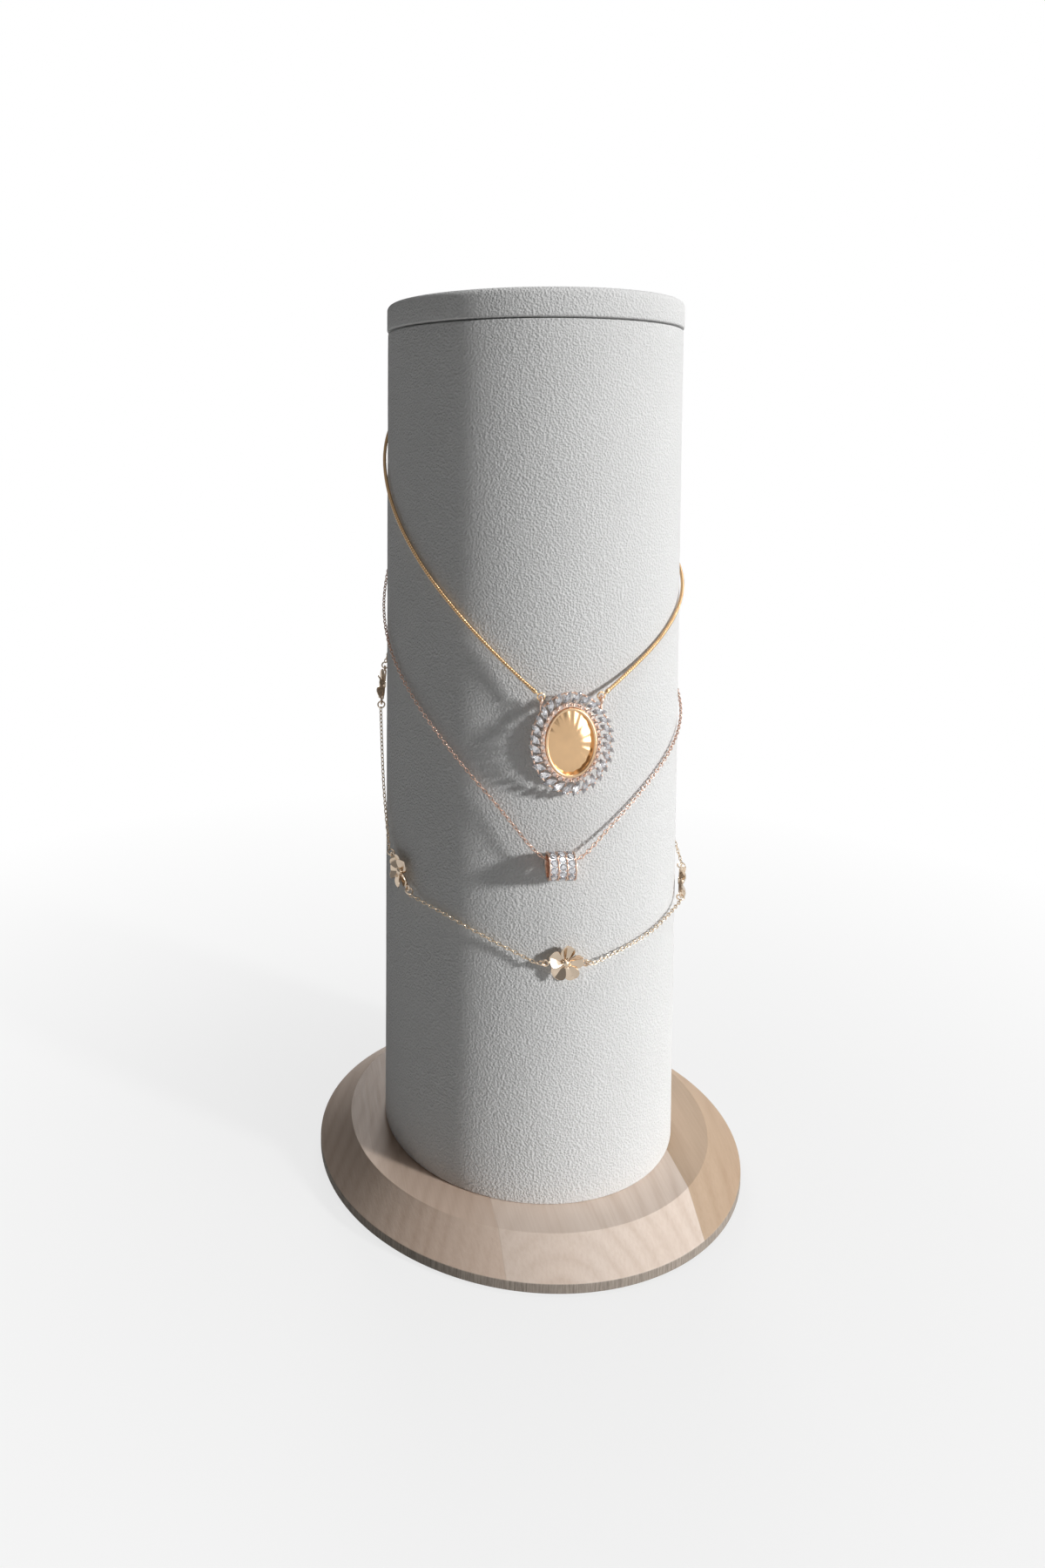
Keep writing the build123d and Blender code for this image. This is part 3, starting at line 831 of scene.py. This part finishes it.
def steel():
    """Zinc-plated steel with a faint mottle."""
    made = Finish("steel")
    mottle = made.cells(made.place(), scale=420, smoothness=0.3)
    marks = made.noise(made.place(stretch=(1, 1, 6)), scale=1400, detail=3, roughness=0.7)
    made.set(
        Base_Color=made.shade(mottle, toned("steel", 0.86), toned("steel", 1.06), low=0.2),
        Metallic=1.0,
        Roughness=made.span(marks, 0.26, 0.42),
        Normal=made.bump(marks, depth=0.00001),
    )
    return made.material


def carve_base(material):
    """Turned disc with crisp, slightly eased edges, its screw hole and the washer's pocket."""
    pocket = washer_radius + pocket_clearance
    corners = [
        (screw_hole_radius, base_top), (base_flat_radius, base_top), (base_radius, rim_top),
        (base_radius, base_underside), (pocket, base_underside), (pocket, washer_top),
        (screw_hole_radius, washer_top),
    ]
    shape = Shape(turned(eased(corners, base_edge_radius), 192, looped=True))
    disc = piece("turned_base", shape, material, "stand", ["base_disc"])
    disc.modifiers.new("even_shading", "WEIGHTED_NORMAL").weight = 100


def ruffled(point, amount):
    """Point of a wrapped covering, moved a hair along its radius as cloth lies over board."""
    wave = noise.noise(point * broad_ruffles) + fine_ruffle_share * noise.noise(point * fine_ruffles)
    return point + outward_from_axis(point) * (wave * amount)


def sleeve_angles():
    """Angles round the sleeve, closer together at the seam at the back."""
    near = [share * seam_half_width / column_radius for share in (1, 1.6, 2.6, 4.2, 7.0, 12.0)]
    steps = 240
    step = 2 * math.pi / steps
    first = math.ceil(near[-1] / step) + 1
    wide = [number * step for number in range(first, steps - first + 1)]
    offsets = [0.0] + near + wide + [2 * math.pi - angle for angle in reversed(near)]
    return [seam_turn + offset for offset in offsets]


def seam_dip(angle):
    """How far the sleeve's surface drops into its butt seam, with a slight roll beside it."""
    away = abs((angle - seam_turn + math.pi) % (2 * math.pi) - math.pi) * column_radius
    groove = seam_depth * max(0.0, 1 - away / (2 * seam_half_width))
    return groove - seam_roll * math.exp(-((away - seam_roll_place) / seam_roll_width) ** 2)


def wrap_column(material):
    """Sleeve of microfibre: tucked in at the foot, turned into the tube's mouth, seamed at the back."""
    inside = column_radius - covering_thickness
    hem_radius = mouth_radius + covering_thickness
    hem_low = joint_height - covering_hem
    under = joint_height - covering_thickness
    lip = covering_lip
    wall_rows = 46
    wall_low = base_top + lip
    wall_step = (joint_height - lip - wall_low) / wall_rows
    profile = arc((column_radius - lip, wall_low), lip, -90, 0, 4)
    profile += [(column_radius, wall_low + number * wall_step) for number in range(1, wall_rows)]
    profile += arc((column_radius - lip, joint_height - lip), lip, 0, 90, 5)
    profile += [
        (column_radius - cleft_depth * 0.5, joint_height - cleft_height),
        (column_radius - cleft_depth, joint_height),
    ]
    profile += arc((mouth_radius + lip, joint_height - lip), lip, 90, 180, 4)
    profile += [
        (mouth_radius, hem_low), (hem_radius, hem_low), (hem_radius, under), (inside, under),
        (inside, base_top),
    ]
    rows = []
    for radius, height in profile:
        outer = radius > inside + skin_margin
        row = []
        for angle in sleeve_angles():
            reach = radius - (seam_dip(angle) if outer else 0.0)
            point = Vector((reach * math.cos(angle), reach * math.sin(angle), height))
            row.append(ruffled(point, column_ruffle) if outer else point)
        rows.append(row)
    shape = Shape(loft(rows, looped=True))
    piece("column_sleeve", shape, material, "stand", ["column_covering"], crease=70)


def wrap_cap(material):
    """Microfibre drawn over the cap's edge and turned in underneath."""
    inside = cap_radius - covering_thickness
    hem = cap_radius - cap_hem
    hem_top = joint_height + covering_thickness
    under = cap_top - covering_thickness
    lip = covering_lip
    edge = cap_edge_radius
    side_low = joint_height + lip + cleft_height
    side_high = cap_top - edge
    profile = [(cap_radius * share, cap_top) for share in (0.0, 0.2, 0.4, 0.6, 0.8, 0.92)]
    profile += arc((cap_radius - edge, side_high), edge, 90, 0, 7)
    profile += [(cap_radius, side_high + (side_low - side_high) * share) for share in (0.33, 0.66)]
    profile += arc((cap_radius - lip, side_low), lip, 0, -90, 5)
    profile += [
        (cap_radius - cleft_depth, joint_height + cleft_height),
        (cap_radius - cleft_depth - lip, joint_height), (hem, joint_height), (hem, hem_top),
        (inside, hem_top), (inside, side_high), (inside - edge, under), (0.0, under),
    ]
    rows = []
    for radius, height in profile:
        row = circle(radius, height, 224)
        outer = radius > inside + skin_margin
        rows.append([ruffled(point, cap_ruffle) for point in row] if outer else row)
    piece("cap_cloth", Shape(loft(rows)), material, "cap", ["cap_covering"], crease=70)


def route_line(name, points):
    """Points along the smooth line of a given route."""
    curve = bpy.data.curves.new(name, "CURVE")
    curve.dimensions = "3D"
    curve.resolution_u = 24
    spline = curve.splines.new("NURBS")
    spline.points.add(len(points) - 1)
    for spot, point in zip(spline.points, points):
        spot.co = (*point, 1)
    spline.order_u = 3
    spline.use_endpoint_u = True
    holder = bpy.data.objects.new(name, curve)
    mesh = bpy.data.meshes.new_from_object(holder)
    line = [vertex.co.copy() for vertex in mesh.vertices]
    bpy.data.objects.remove(holder)
    bpy.data.curves.remove(curve)
    bpy.data.meshes.remove(mesh)
    return line


def chain_frame(point, along):
    """Frame on a chain: x along it, z away from the column."""
    side = outward_from_axis(point).cross(along).normalized()
    lift = along.cross(side)
    return Matrix.Translation(point) @ Matrix((along, side, lift)).transposed().to_4x4()


def cable_links(line):
    """Oval wire links, each hooked through the next and turned the other way."""
    half_length = link_length / 2 - link_wire_radius
    half_width = link_width / 2 - link_wire_radius
    link = ringed(oval_line(half_length, half_width, 16), round_section(link_wire_radius, 7))
    pitch = link_length - 4 * link_wire_radius
    shape = Shape()
    for number, (point, along) in enumerate(along_line(line, 0.0, pitch)):
        lean = link_lean if number % 2 else -link_lean
        shape.add(link, chain_frame(point, along) @ spin(lean, "X"))
    return shape


def snake_links(line):
    """Close-set cupped rings, with a smooth end sleeve and a loop at each end."""
    radius = smooth_chain_diameter / 2
    half = snake_pitch / 2
    upright = spin(90, "Y")
    cup = loft([circle(out, up, 12) for out, up in scaled(snake_cup, radius, half)], capped=True)
    sleeve = turned(scaled(snake_sleeve, radius, snake_sleeve_half), 16)
    loop = wire_ring(snake_loop_radius, snake_loop_wire, 20, 8)
    shape = Shape()
    for point, along in along_line(line, snake_end_length + half, snake_pitch):
        shape.add(cup, chain_frame(point, along) @ upright)
    for point, along in line_ends(line, snake_sleeve_place):
        shape.add(sleeve, chain_frame(point, along) @ upright)
    for point, along in line_ends(line, 0.0):
        shape.add(loop, chain_frame(point, along) @ spin(90, "X"))
    return shape


def lying(route, diameter):
    """Points of a given route, just clear of the column along its straight runs."""
    bow = column_radius * (1 / math.cos(math.radians(widest_step / 2)) - 1)
    rest = chain_gap + diameter / 2 + bow
    return [seat(angle, drop, rest + extra).to_translation() for angle, drop, extra in route]


def clasp_port(number, reach, angle):
    """Where a chain meets the clasp or end ring on one of the pegs."""
    hung = seat(peg_angle, peg_drops[number] + clasp_hang, clasp_standoff)
    return hung @ spin(angle, "Z") @ Vector((reach, 0, 0))


def tail_port(number):
    return clasp_port(number, tail_port_reach, tail_angle)


def end_port(number):
    return clasp_port(number, end_port_reach, end_ring_angle)


def pendant_frame():
    return seat(0, pendant_drop, 0)


def halo_port(side, rise):
    """Where a chain end meets the oval pendant's jump ring."""
    turn = math.radians(rise)
    across = side * (eyelet_across + halo_port_reach * math.cos(turn))
    up = eyelet_rise + jump_ring_radius + halo_port_reach * math.sin(turn)
    return pendant_frame() @ Vector((across, up, hinge_standoff))


def bead_frame():
    return seat(bead_angle, bead_drop, bead_standoff)


def station_frame(number):
    hung = seat(station_angles[number], station_drops[number], station_standoff)
    return hung @ spin(station_tilts[number], "Z")


def string_chain(node, points, links, material):
    """One free length of chain, of links along its smooth route."""
    line = route_line(node, points)
    chain = piece(node.replace("chain", "links"), links(line), material, "stand", [node])


def string_halo(material):
    """Smooth chain from each side of the oval pendant to its peg."""
    left = [halo_port(-1, left_chain_rise), *lying(halo_left_route, smooth_chain_diameter), tail_port(0)]
    right = [halo_port(1, right_chain_rise), *lying(halo_right_route, smooth_chain_diameter), end_port(0)]
    for node, points, length in zip(("halo_chain_left", "halo_chain_right"), (left, right), halo_lengths):
        string_chain(node, points, snake_links, material)


def string_barrel(material):
    """One cable chain from its peg through the bead and back."""
    corners = [Vector((side * bead_corner_across, bead_corner_rise, 0)) for side in (-1, 1)]
    points = [tail_port(1), *lying(barrel_left_route, cable_chain_diameter)]
    points += [bead_frame() @ corner for corner in corners]
    points += [*lying(barrel_right_route, cable_chain_diameter), end_port(1)]
    string_chain(
        "barrel_chain", points, cable_links, material
    )


def string_stations(material):
    """Lengths of cable chain from flower to flower and to their peg."""
    reach = Vector((station_port_reach, 0, 0))
    count = len(station_angles)
    starts = [tail_port(2)] + [station_frame(number) @ reach for number in range(count)]
    ends = [station_frame(number) @ -reach for number in range(count)] + [end_port(2)]
    for number, route in enumerate(station_routes):
        points = [starts[number], *lying(route, cable_chain_diameter), ends[number]]
        string_chain(
            f"station_chain_{number + 1}", points,
            cable_links, material,
        )


def leaf_row(share, height, turn):
    """Outline of a pointed stone at a share of its size."""
    corners = 12
    row = []
    for corner in range(corners):
        angle = 2 * math.pi * (corner + turn) / corners
        across = leaf_length / 2 * share * math.cos(angle)
        side = leaf_width / 2 * share * math.sin(angle) * abs(math.sin(angle))
        row.append(Vector((across, side, height)))
    return row


def leaf_stone():
    """Pointed crystal with a pavilion, a thin girdle, two tiers of crown facets and a table."""
    rows = [
        leaf_row(0.35, 0.0, 0), leaf_row(0.98, leaf_pavilion, 0), leaf_row(1.0, leaf_pavilion * 1.15, 0),
        leaf_row(0.80, leaf_pavilion + leaf_crown * 0.62, 0.5),
        leaf_row(0.60, leaf_pavilion + leaf_crown, 0),
    ]
    return loft(rows, capped=True, split=True)


def round_stone(radius, height):
    """Round crystal with a girdle, two tiers of crown facets and a table."""
    rows = [
        circle(radius * 0.55, 0.0, 8), circle(radius * 0.97, height * 0.3, 8),
        circle(radius, height * 0.42, 8), circle(radius * 0.82, height * 0.78, 8, math.pi / 8),
        circle(radius * 0.55, height, 8),
    ]
    return loft(rows, capped=True, split=True)


def form_bezel(material):
    """Rounded oval wall with a ledge at its back that carries the plate."""
    half = bezel_wall / 2
    middle = oval_line(bezel_half_width - half, bezel_half_length - half, oval_steps)
    wall = flat_section(-half, half, bezel_back, bezel_front, half * 0.75, 4)
    ledge = flat_section(-ledge_width, 0.0, bezel_back, plate_back, ledge_edge)
    shape = Shape()
    for section in (wall, ledge):
        shape.add(ringed(middle, section), pendant_frame())
    piece("pendant_bezel", shape, material, "oval_pendant", ["oval_bezel"], crease=50)


def form_plate(material):
    """Domed plate inside the bezel, with faint flutes that deepen towards its edge."""
    rim = oval_line(bezel_half_width - bezel_wall, bezel_half_length - bezel_wall, oval_steps)
    back = Vector((0, 0, plate_back))
    rows = [[Vector((0, 0, plate_front + plate_dome))]]
    for share in plate_rings:
        height = plate_front + plate_dome * (1 - share**plate_dome_power)
        row = []
        for number, (point, _) in enumerate(rim):
            wave = math.cos(2 * math.pi * plate_flutes * number / oval_steps)
            row.append(point * share + Vector((0, 0, height + wave * plate_flute_depth * share**3)))
        rows.append(row)
    rows.append([point + back for point, _ in rim])
    rows.append([back])
    shape = Shape()
    shape.add(loft(rows), pendant_frame())
    piece("pendant_plate", shape, material, "oval_pendant", ["oval_plate"], crease=50)


def form_mount(material):
    """Open mount: band round the bezel, wire on spokes, prongs, grains and two eyelets on stalks."""
    place = pendant_frame()
    at_hinge = place @ shift(0, 0, hinge_standoff)
    half = halo_band_width / 2
    band_line = oval_line(bezel_half_width + half, bezel_half_length + half, oval_steps)
    wire_section = round_section(halo_wire_radius, 8, hinge_standoff)
    prong_profile = [
        (0.0, halo_back), (prong_radius, halo_back), (prong_radius, prong_top - prong_radius * 0.7),
        (prong_radius * 0.75, prong_top - prong_radius * 0.2), (0.0, prong_top),
    ]
    prong = turned(prong_profile, 10)
    grain = metal_grain(accent_grain_radius)
    spoke = rod(spoke_radius, 0.0, spoke_length, 8)
    stalk_low = prong_ring[1] * math.sqrt(1 - (eyelet_across / prong_ring[0]) ** 2)
    stalk = rod(stalk_radius, stalk_low, eyelet_rise - eyelet_radius, 10)
    eyelet = wire_ring(eyelet_radius, eyelet_wire_radius)
    shape = Shape()
    shape.add(ringed(band_line, flat_section(-half, half, halo_back, halo_front, halo_band_edge)), place)
    shape.add(ringed(oval_line(*prong_ring, oval_steps), wire_section), place)
    for point, _ in evenly_round(*prong_ring, leaf_count, prong_start):
        shape.add(prong, place @ Matrix.Translation(point))
    for point, _ in evenly_round(*accent_ring, leaf_count, 0.0):
        shape.add(grain, place @ Matrix.Translation(point) @ shift(0, 0, halo_front + accent_grain_lift))
    for point, normal in evenly_round(bezel_half_width, bezel_half_length, leaf_count, 0.5):
        shape.add(spoke, at_hinge @ Matrix.Translation(point) @ spin(normal, "Z") @ spin(90, "Y"))
    for side in (-1, 1):
        across = side * eyelet_across
        shape.add(eyelet, at_hinge @ shift(across, eyelet_rise, 0) @ spin(90, "Y"))
        shape.add(stalk, at_hinge @ shift(across, 0, 0) @ spin(-90, "X"))
    piece("halo_mount", shape, material, "oval_pendant", ["halo_setting"], crease=50)


def set_halo(material, backing):
    """Ring of swept leaf crystals with a ring of small round ones inside it, all on foil."""
    place = pendant_frame()
    leaf = leaf_stone()
    accent = round_stone(accent_radius, accent_height)
    shape = Shape()
    for number, (point, normal) in enumerate(evenly_round(*leaf_ring, leaf_count, 0.5)):
        swept = Matrix.Translation(point) @ spin(normal + leaf_sweep, "Z") @ shift(0, 0, halo_front)
        shape.add(leaf, place @ swept @ spin(leaf_tilts[number % 2], "Y"))
    for point, normal in evenly_round(*accent_ring, leaf_count, 0.5):
        sunk = Matrix.Translation(point) @ spin(normal, "Z") @ shift(0, 0, halo_front - accent_sink)
        shape.add(accent, place @ sunk)
    stones = piece("halo_crystals", shape, material, "oval_pendant", ["halo_stones"], flat=True)
    facing = place.to_3x3() @ Vector((0, 0, 1))
    line_with_foil(stones, backing, lambda centre: facing)


def dress_bead(rose, stone, backing):
    """Barrel bead: sleeve with a rim on each side of every row, grains and round crystals."""
    place = bead_frame()
    row_width = (bead_length - (bead_rows + 1) * bead_rim_width) / bead_rows
    step = bead_rim_width + row_width
    outline = [(bead_bore_radius, -bead_length / 2)]
    for rim in range(bead_rows + 1):
        low = rim * step - bead_length / 2
        high = low + bead_rim_width
        if rim > 0:
            outline.append((bead_seat_radius, low))
        outline += [(bead_radius, low), (bead_radius, high)]
        if rim < bead_rows:
            outline.append((bead_seat_radius, high))
    outline.append((bead_bore_radius, bead_length / 2))
    crystal_form = round_stone(bead_stone_radius, bead_stone_height)
    grain = metal_grain(bead_grain_radius)
    sleeve = Shape()
    sleeve.add(turned(eased(outline, bead_edge_radius), 72, looped=True), place @ spin(90, "Y"))
    stones = Shape()
    for row in range(bead_rows):
        along = (row - (bead_rows - 1) / 2) * step
        for number in range(bead_row_stones):
            turn = 360 * (number + row / 2) / bead_row_stones
            stones.add(crystal_form, place @ spin(turn, "X") @ shift(along, 0, bead_stone_lift))
            between = place @ spin(turn + 180 / bead_row_stones, "X")
            for side in (-1, 1):
                aside = along + side * row_width * bead_grain_spread
                sleeve.add(grain, between @ shift(aside, 0, bead_grain_lift))
    rows = piece("bead_crystals", stones, stone, "barrel_bead", ["barrel_stones"], flat=True)
    core = piece("bead_sleeve", sleeve, rose, "barrel_bead", ["barrel_core"], crease=50)
    axis = place.to_3x3() @ Vector((1, 0, 0))
    middle = place.to_translation()

    def outward(centre):
        away = centre - middle
        return (away - axis * away.dot(axis)).normalized()

    def in_seat(face):
        out = outward(face.center)
        depth = (face.center - middle).dot(out) - bead_seat_margin
        return bead_bore_radius < depth < bead_seat_radius and face.normal.dot(out) > bead_seat_facing

    line_with_foil(rows, backing, outward)
    coat(core, backing, in_seat)


def petal():
    """Cupped, creased petal along X, from the hub to its rounded tip."""
    length = flower_radius - petal_root
    across_steps = 11
    lengthwise_steps = 16
    rows = [[Vector((0, 0, 0))]]
    for number in range(1, lengthwise_steps):
        share = number / lengthwise_steps
        half_width = petal_width / 2 * math.sin(math.pi * share**petal_belly) ** petal_bluntness
        tip_thinning = min(1.0, petal_tip_slope * (1 - share) + petal_tip_share)
        top = []
        bottom = []
        for place in range(across_steps):
            side = 2 * place / (across_steps - 1) - 1
            height = petal_cup * abs(side) * math.sin(math.pi * share) ** 0.5 + petal_lift * share**2
            edge_thinning = math.sqrt(1 - petal_edge_thinning * side**2)
            half_thick = petal_thickness / 2 * edge_thinning * tip_thinning
            top.append(Vector((length * share, half_width * side, height + half_thick)))
            bottom.append(Vector((length * share, half_width * side, height - half_thick)))
        rows.append(top + bottom[::-1])
    rows.append([Vector((length, 0, petal_lift))])
    return loft(rows)


def dress_flowers(material):
    """Rosettes of cupped petals round a domed hub, with grains and an eyelet on each side."""
    leaf = petal()
    hub = turned(scaled(hub_profile, hub_radius, 1.0), 24)
    grain = metal_grain(hub_grain_radius, 8, 4)
    bar_half = flower_eyelet_reach - flower_eyelet_radius
    bar = rod(flower_bar_radius, -bar_half, bar_half, 10)
    eyelet = wire_ring(flower_eyelet_radius, flower_eyelet_wire)
    for number in range(len(station_angles)):
        place = station_frame(number)
        shape = Shape()
        for turn in range(petal_count):
            root = spin(90 + turn * 360 / petal_count, "Z") @ shift(petal_root, 0, -petal_sink)
            shape.add(leaf, place @ root @ spin(petal_twist, "X"))
        shape.add(hub, place)
        shape.add(bar, place @ shift(0, 0, -flower_bar_sink) @ spin(90, "Y"))
        for turn in range(hub_grains):
            spot = spin(360 * turn / hub_grains, "Z") @ shift(hub_grain_ring, 0, hub_grain_lift)
            shape.add(grain, place @ spot)
        for side in (-1, 1):
            shape.add(eyelet, place @ shift(side * flower_eyelet_reach, 0, 0))
        name = f"flower_{number + 1}"
        node = f"station_flower_{number + 1}"
        piece(name, shape, material, "stand", [node], crease=32)


def finish_nodes(finishes):
    """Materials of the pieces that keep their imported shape."""
    kept = {
        "felt": ["base_felt"],
        "steel": ["fixing_screw", "fixing_washer", "tee_nut"],
        "fibreboard": ["foot_plug", "cap_core", "cap_spigot"],
        "paperboard": ["column_tube"],
        "peg_brass": ["hang_pegs"],
        "yellow_gold": ["halo_rings", "halo_clasp_ring", "halo_clasp_gate"],
        "rose_gold": ["barrel_clasp_ring", "barrel_clasp_gate"],
        "champagne_gold": ["station_rings", "end_rings", "station_clasp_ring", "station_clasp_gate"],
    }
    for slot, nodes in kept.items():
        for node in nodes:
            for place in frame["nodes"][node].material_slots:
                place.material = finishes[slot]


def set_camera():
    """Camera in front of the column, a little to its left and above its middle."""
    data = bpy.data.cameras.new("camera")
    data.sensor_width = sensor_width
    data.lens = lens_length
    data.shift_x, data.shift_y = lens_shift
    data.clip_start = view_nearest
    data.clip_end = view_farthest
    eye = bpy.data.objects.new("camera", data)
    aim = spin(view_yaw, "Z") @ spin(90 + view_pitch, "X") @ spin(view_roll, "Z")
    eye.matrix_world = spin(view_angle, "Z") @ Matrix.Translation((0, -view_distance, view_height)) @ aim
    bpy.context.scene.collection.objects.link(eye)
    bpy.context.scene.camera = eye


def direction(angle, elevation):
    """Direction away from the column, by its angle round the column and its height."""
    turn = math.radians(angle)
    rise = math.radians(elevation)
    return Vector((math.sin(turn) * math.cos(rise), -math.cos(turn) * math.cos(rise), math.sin(rise)))


def hang_lamp(data, angle, elevation, distance):
    """Lamp at a place round the column, facing the middle of the column."""
    lamp = bpy.data.objects.new(data.name, data)
    away = direction(angle, elevation)
    lamp.location = away * distance + Vector((0, 0, joint_height / 2))
    lamp.rotation_mode = "QUATERNION"
    lamp.rotation_quaternion = away.to_track_quat("Z", "Y")
    bpy.context.scene.collection.objects.link(lamp)
    return lamp


def soft_lamp(name, angle, elevation, distance, size, power):
    """Round soft lamp near the column."""
    data = bpy.data.lights.new(name, "AREA")
    data.shape = "DISK"
    data.size = size
    data.energy = power
    return hang_lamp(data, angle, elevation, distance)


def key_lamp():
    """Main lamp, which lights the column evenly from its foot to its cap."""
    data = bpy.data.lights.new("key", "SUN")
    data.angle = math.radians(key_spread)
    data.energy = key_strength
    hang_lamp(data, key_angle, key_elevation, key_distance)


def light_room():
    """Lamps, and surroundings that look white, fill the shade weakly and show brightest on one side."""
    world = bpy.data.worlds.new("room")
    world.use_nodes = True
    bpy.context.scene.world = world
    room = Nodes(world.node_tree)
    seen, mirrored, through = room.rays()
    outward = room.node("ShaderNodeTexCoord").outputs["Generated"]
    bright_side = direction(glow_angle, glow_elevation)
    facing = room.operate("ShaderNodeVectorMath", "DOT_PRODUCT", outward, bright_side)["Value"]
    glow = room.span(facing, *glow_levels, *glow_reach, kind="SMOOTHSTEP")
    indirect = room.between(mirrored, fill_level, room.between(through, glow, stone_level))
    background = room.tree.nodes["Background"]
    background.inputs["Color"].default_value = (1, 1, 1, 1)
    room.feed(background.inputs["Strength"], room.between(seen, indirect, 1.0))
    key_lamp()
    soft_lamp("top", angle=key_angle, elevation=72, distance=1.6, size=0.4, power=5)
    soft_lamp("back_fill", angle=172, elevation=11, distance=1.5, size=0.6, power=11)
    glint = soft_lamp("glint", angle=41, elevation=3, distance=0.62, size=0.46, power=1.6)
    glint.visible_diffuse = False


def lay_floor():
    """Pale floor that keeps the object's shadow and fades to plain white away from it."""
    made = Finish("floor")
    made.set(Base_Color=(*floor_colour, 1), Roughness=0.7, Specular_IOR_Level=0.2)
    away = made.operate("ShaderNodeVectorMath", "LENGTH", made.place())["Value"]
    seen, mirrored, _ = made.rays()
    looked_at = made.math("MULTIPLY_ADD", mirrored, mirrored_white, seen)
    share = made.math("MULTIPLY", made.span(away, floor_white, 1.0, *floor_fade), looked_at)
    white = made.filled("ShaderNodeEmission", {"Strength": 1.0})["Emission"]
    either = made.node("ShaderNodeMixShader")
    for socket, value in zip(either.inputs, (share, made.shader.outputs["BSDF"], white)):
        made.feed(socket, value)
    made.feed(made.tree.nodes["Material Output"].inputs["Surface"], either.outputs["Shader"])
    mesh = bpy.data.meshes.new("floor")
    corners = circle(floor_radius, 0.0, 64)
    mesh.from_pydata(corners, [], [list(range(len(corners)))])
    mesh.materials.append(made.material)
    floor = bpy.data.objects.new("floor", mesh)
    bpy.context.scene.collection.objects.link(floor)


# Plated metals by slot: roughness and tint
plated = {
    "peg_brass": (0.2, (1.0, 1.0, 1.0)),
    "yellow_gold": (0.16, (1.0, 0.95, 1.0)),
    "rose_gold": (0.14, (0.95, 0.98, 1.0)),
    "champagne_gold": (0.1, (1.04, 0.96, 1.0)),
    "polished_gold": (0.09, (1.0, 0.84, 0.74)),
}
finishes = {slot: polished(slot, slot, *look) for slot, look in plated.items()}
finishes.update(felt=felt(), steel=steel(), fibreboard=fibreboard(), paperboard=paperboard())
cloth = microfibre()
stone = crystal()
backing = foil()

set_camera()
# The link finishes are darker copies of the plated golds, a little shifted in hue: the darkening is
# painted shade for the crevices between links and for dark surroundings in their reflections.
string_halo(polished("yellow_links_painted_shade", "yellow_gold", 0.2, (0.76, 0.67, 0.64)))
string_barrel(polished("rose_links_painted_shade", "rose_gold", 0.2, (0.70, 0.70, 0.72)))
string_stations(polished("champagne_links_painted_shade", "champagne_gold", 0.2, (0.84, 0.78, 0.80)))
carve_base(beech())
wrap_column(cloth)
wrap_cap(cloth)
form_bezel(polished("pale_gold", "polished_gold", 0.14, (1.0, 0.88, 0.85)))
form_plate(finishes["polished_gold"])
form_mount(finishes["rose_gold"])
set_halo(stone, backing)
dress_bead(finishes["rose_gold"], stone, backing)
dress_flowers(finishes["champagne_gold"])
finish_nodes(finishes)
light_room()
lay_floor()
bpy.context.scene.view_settings.view_transform = "Standard"
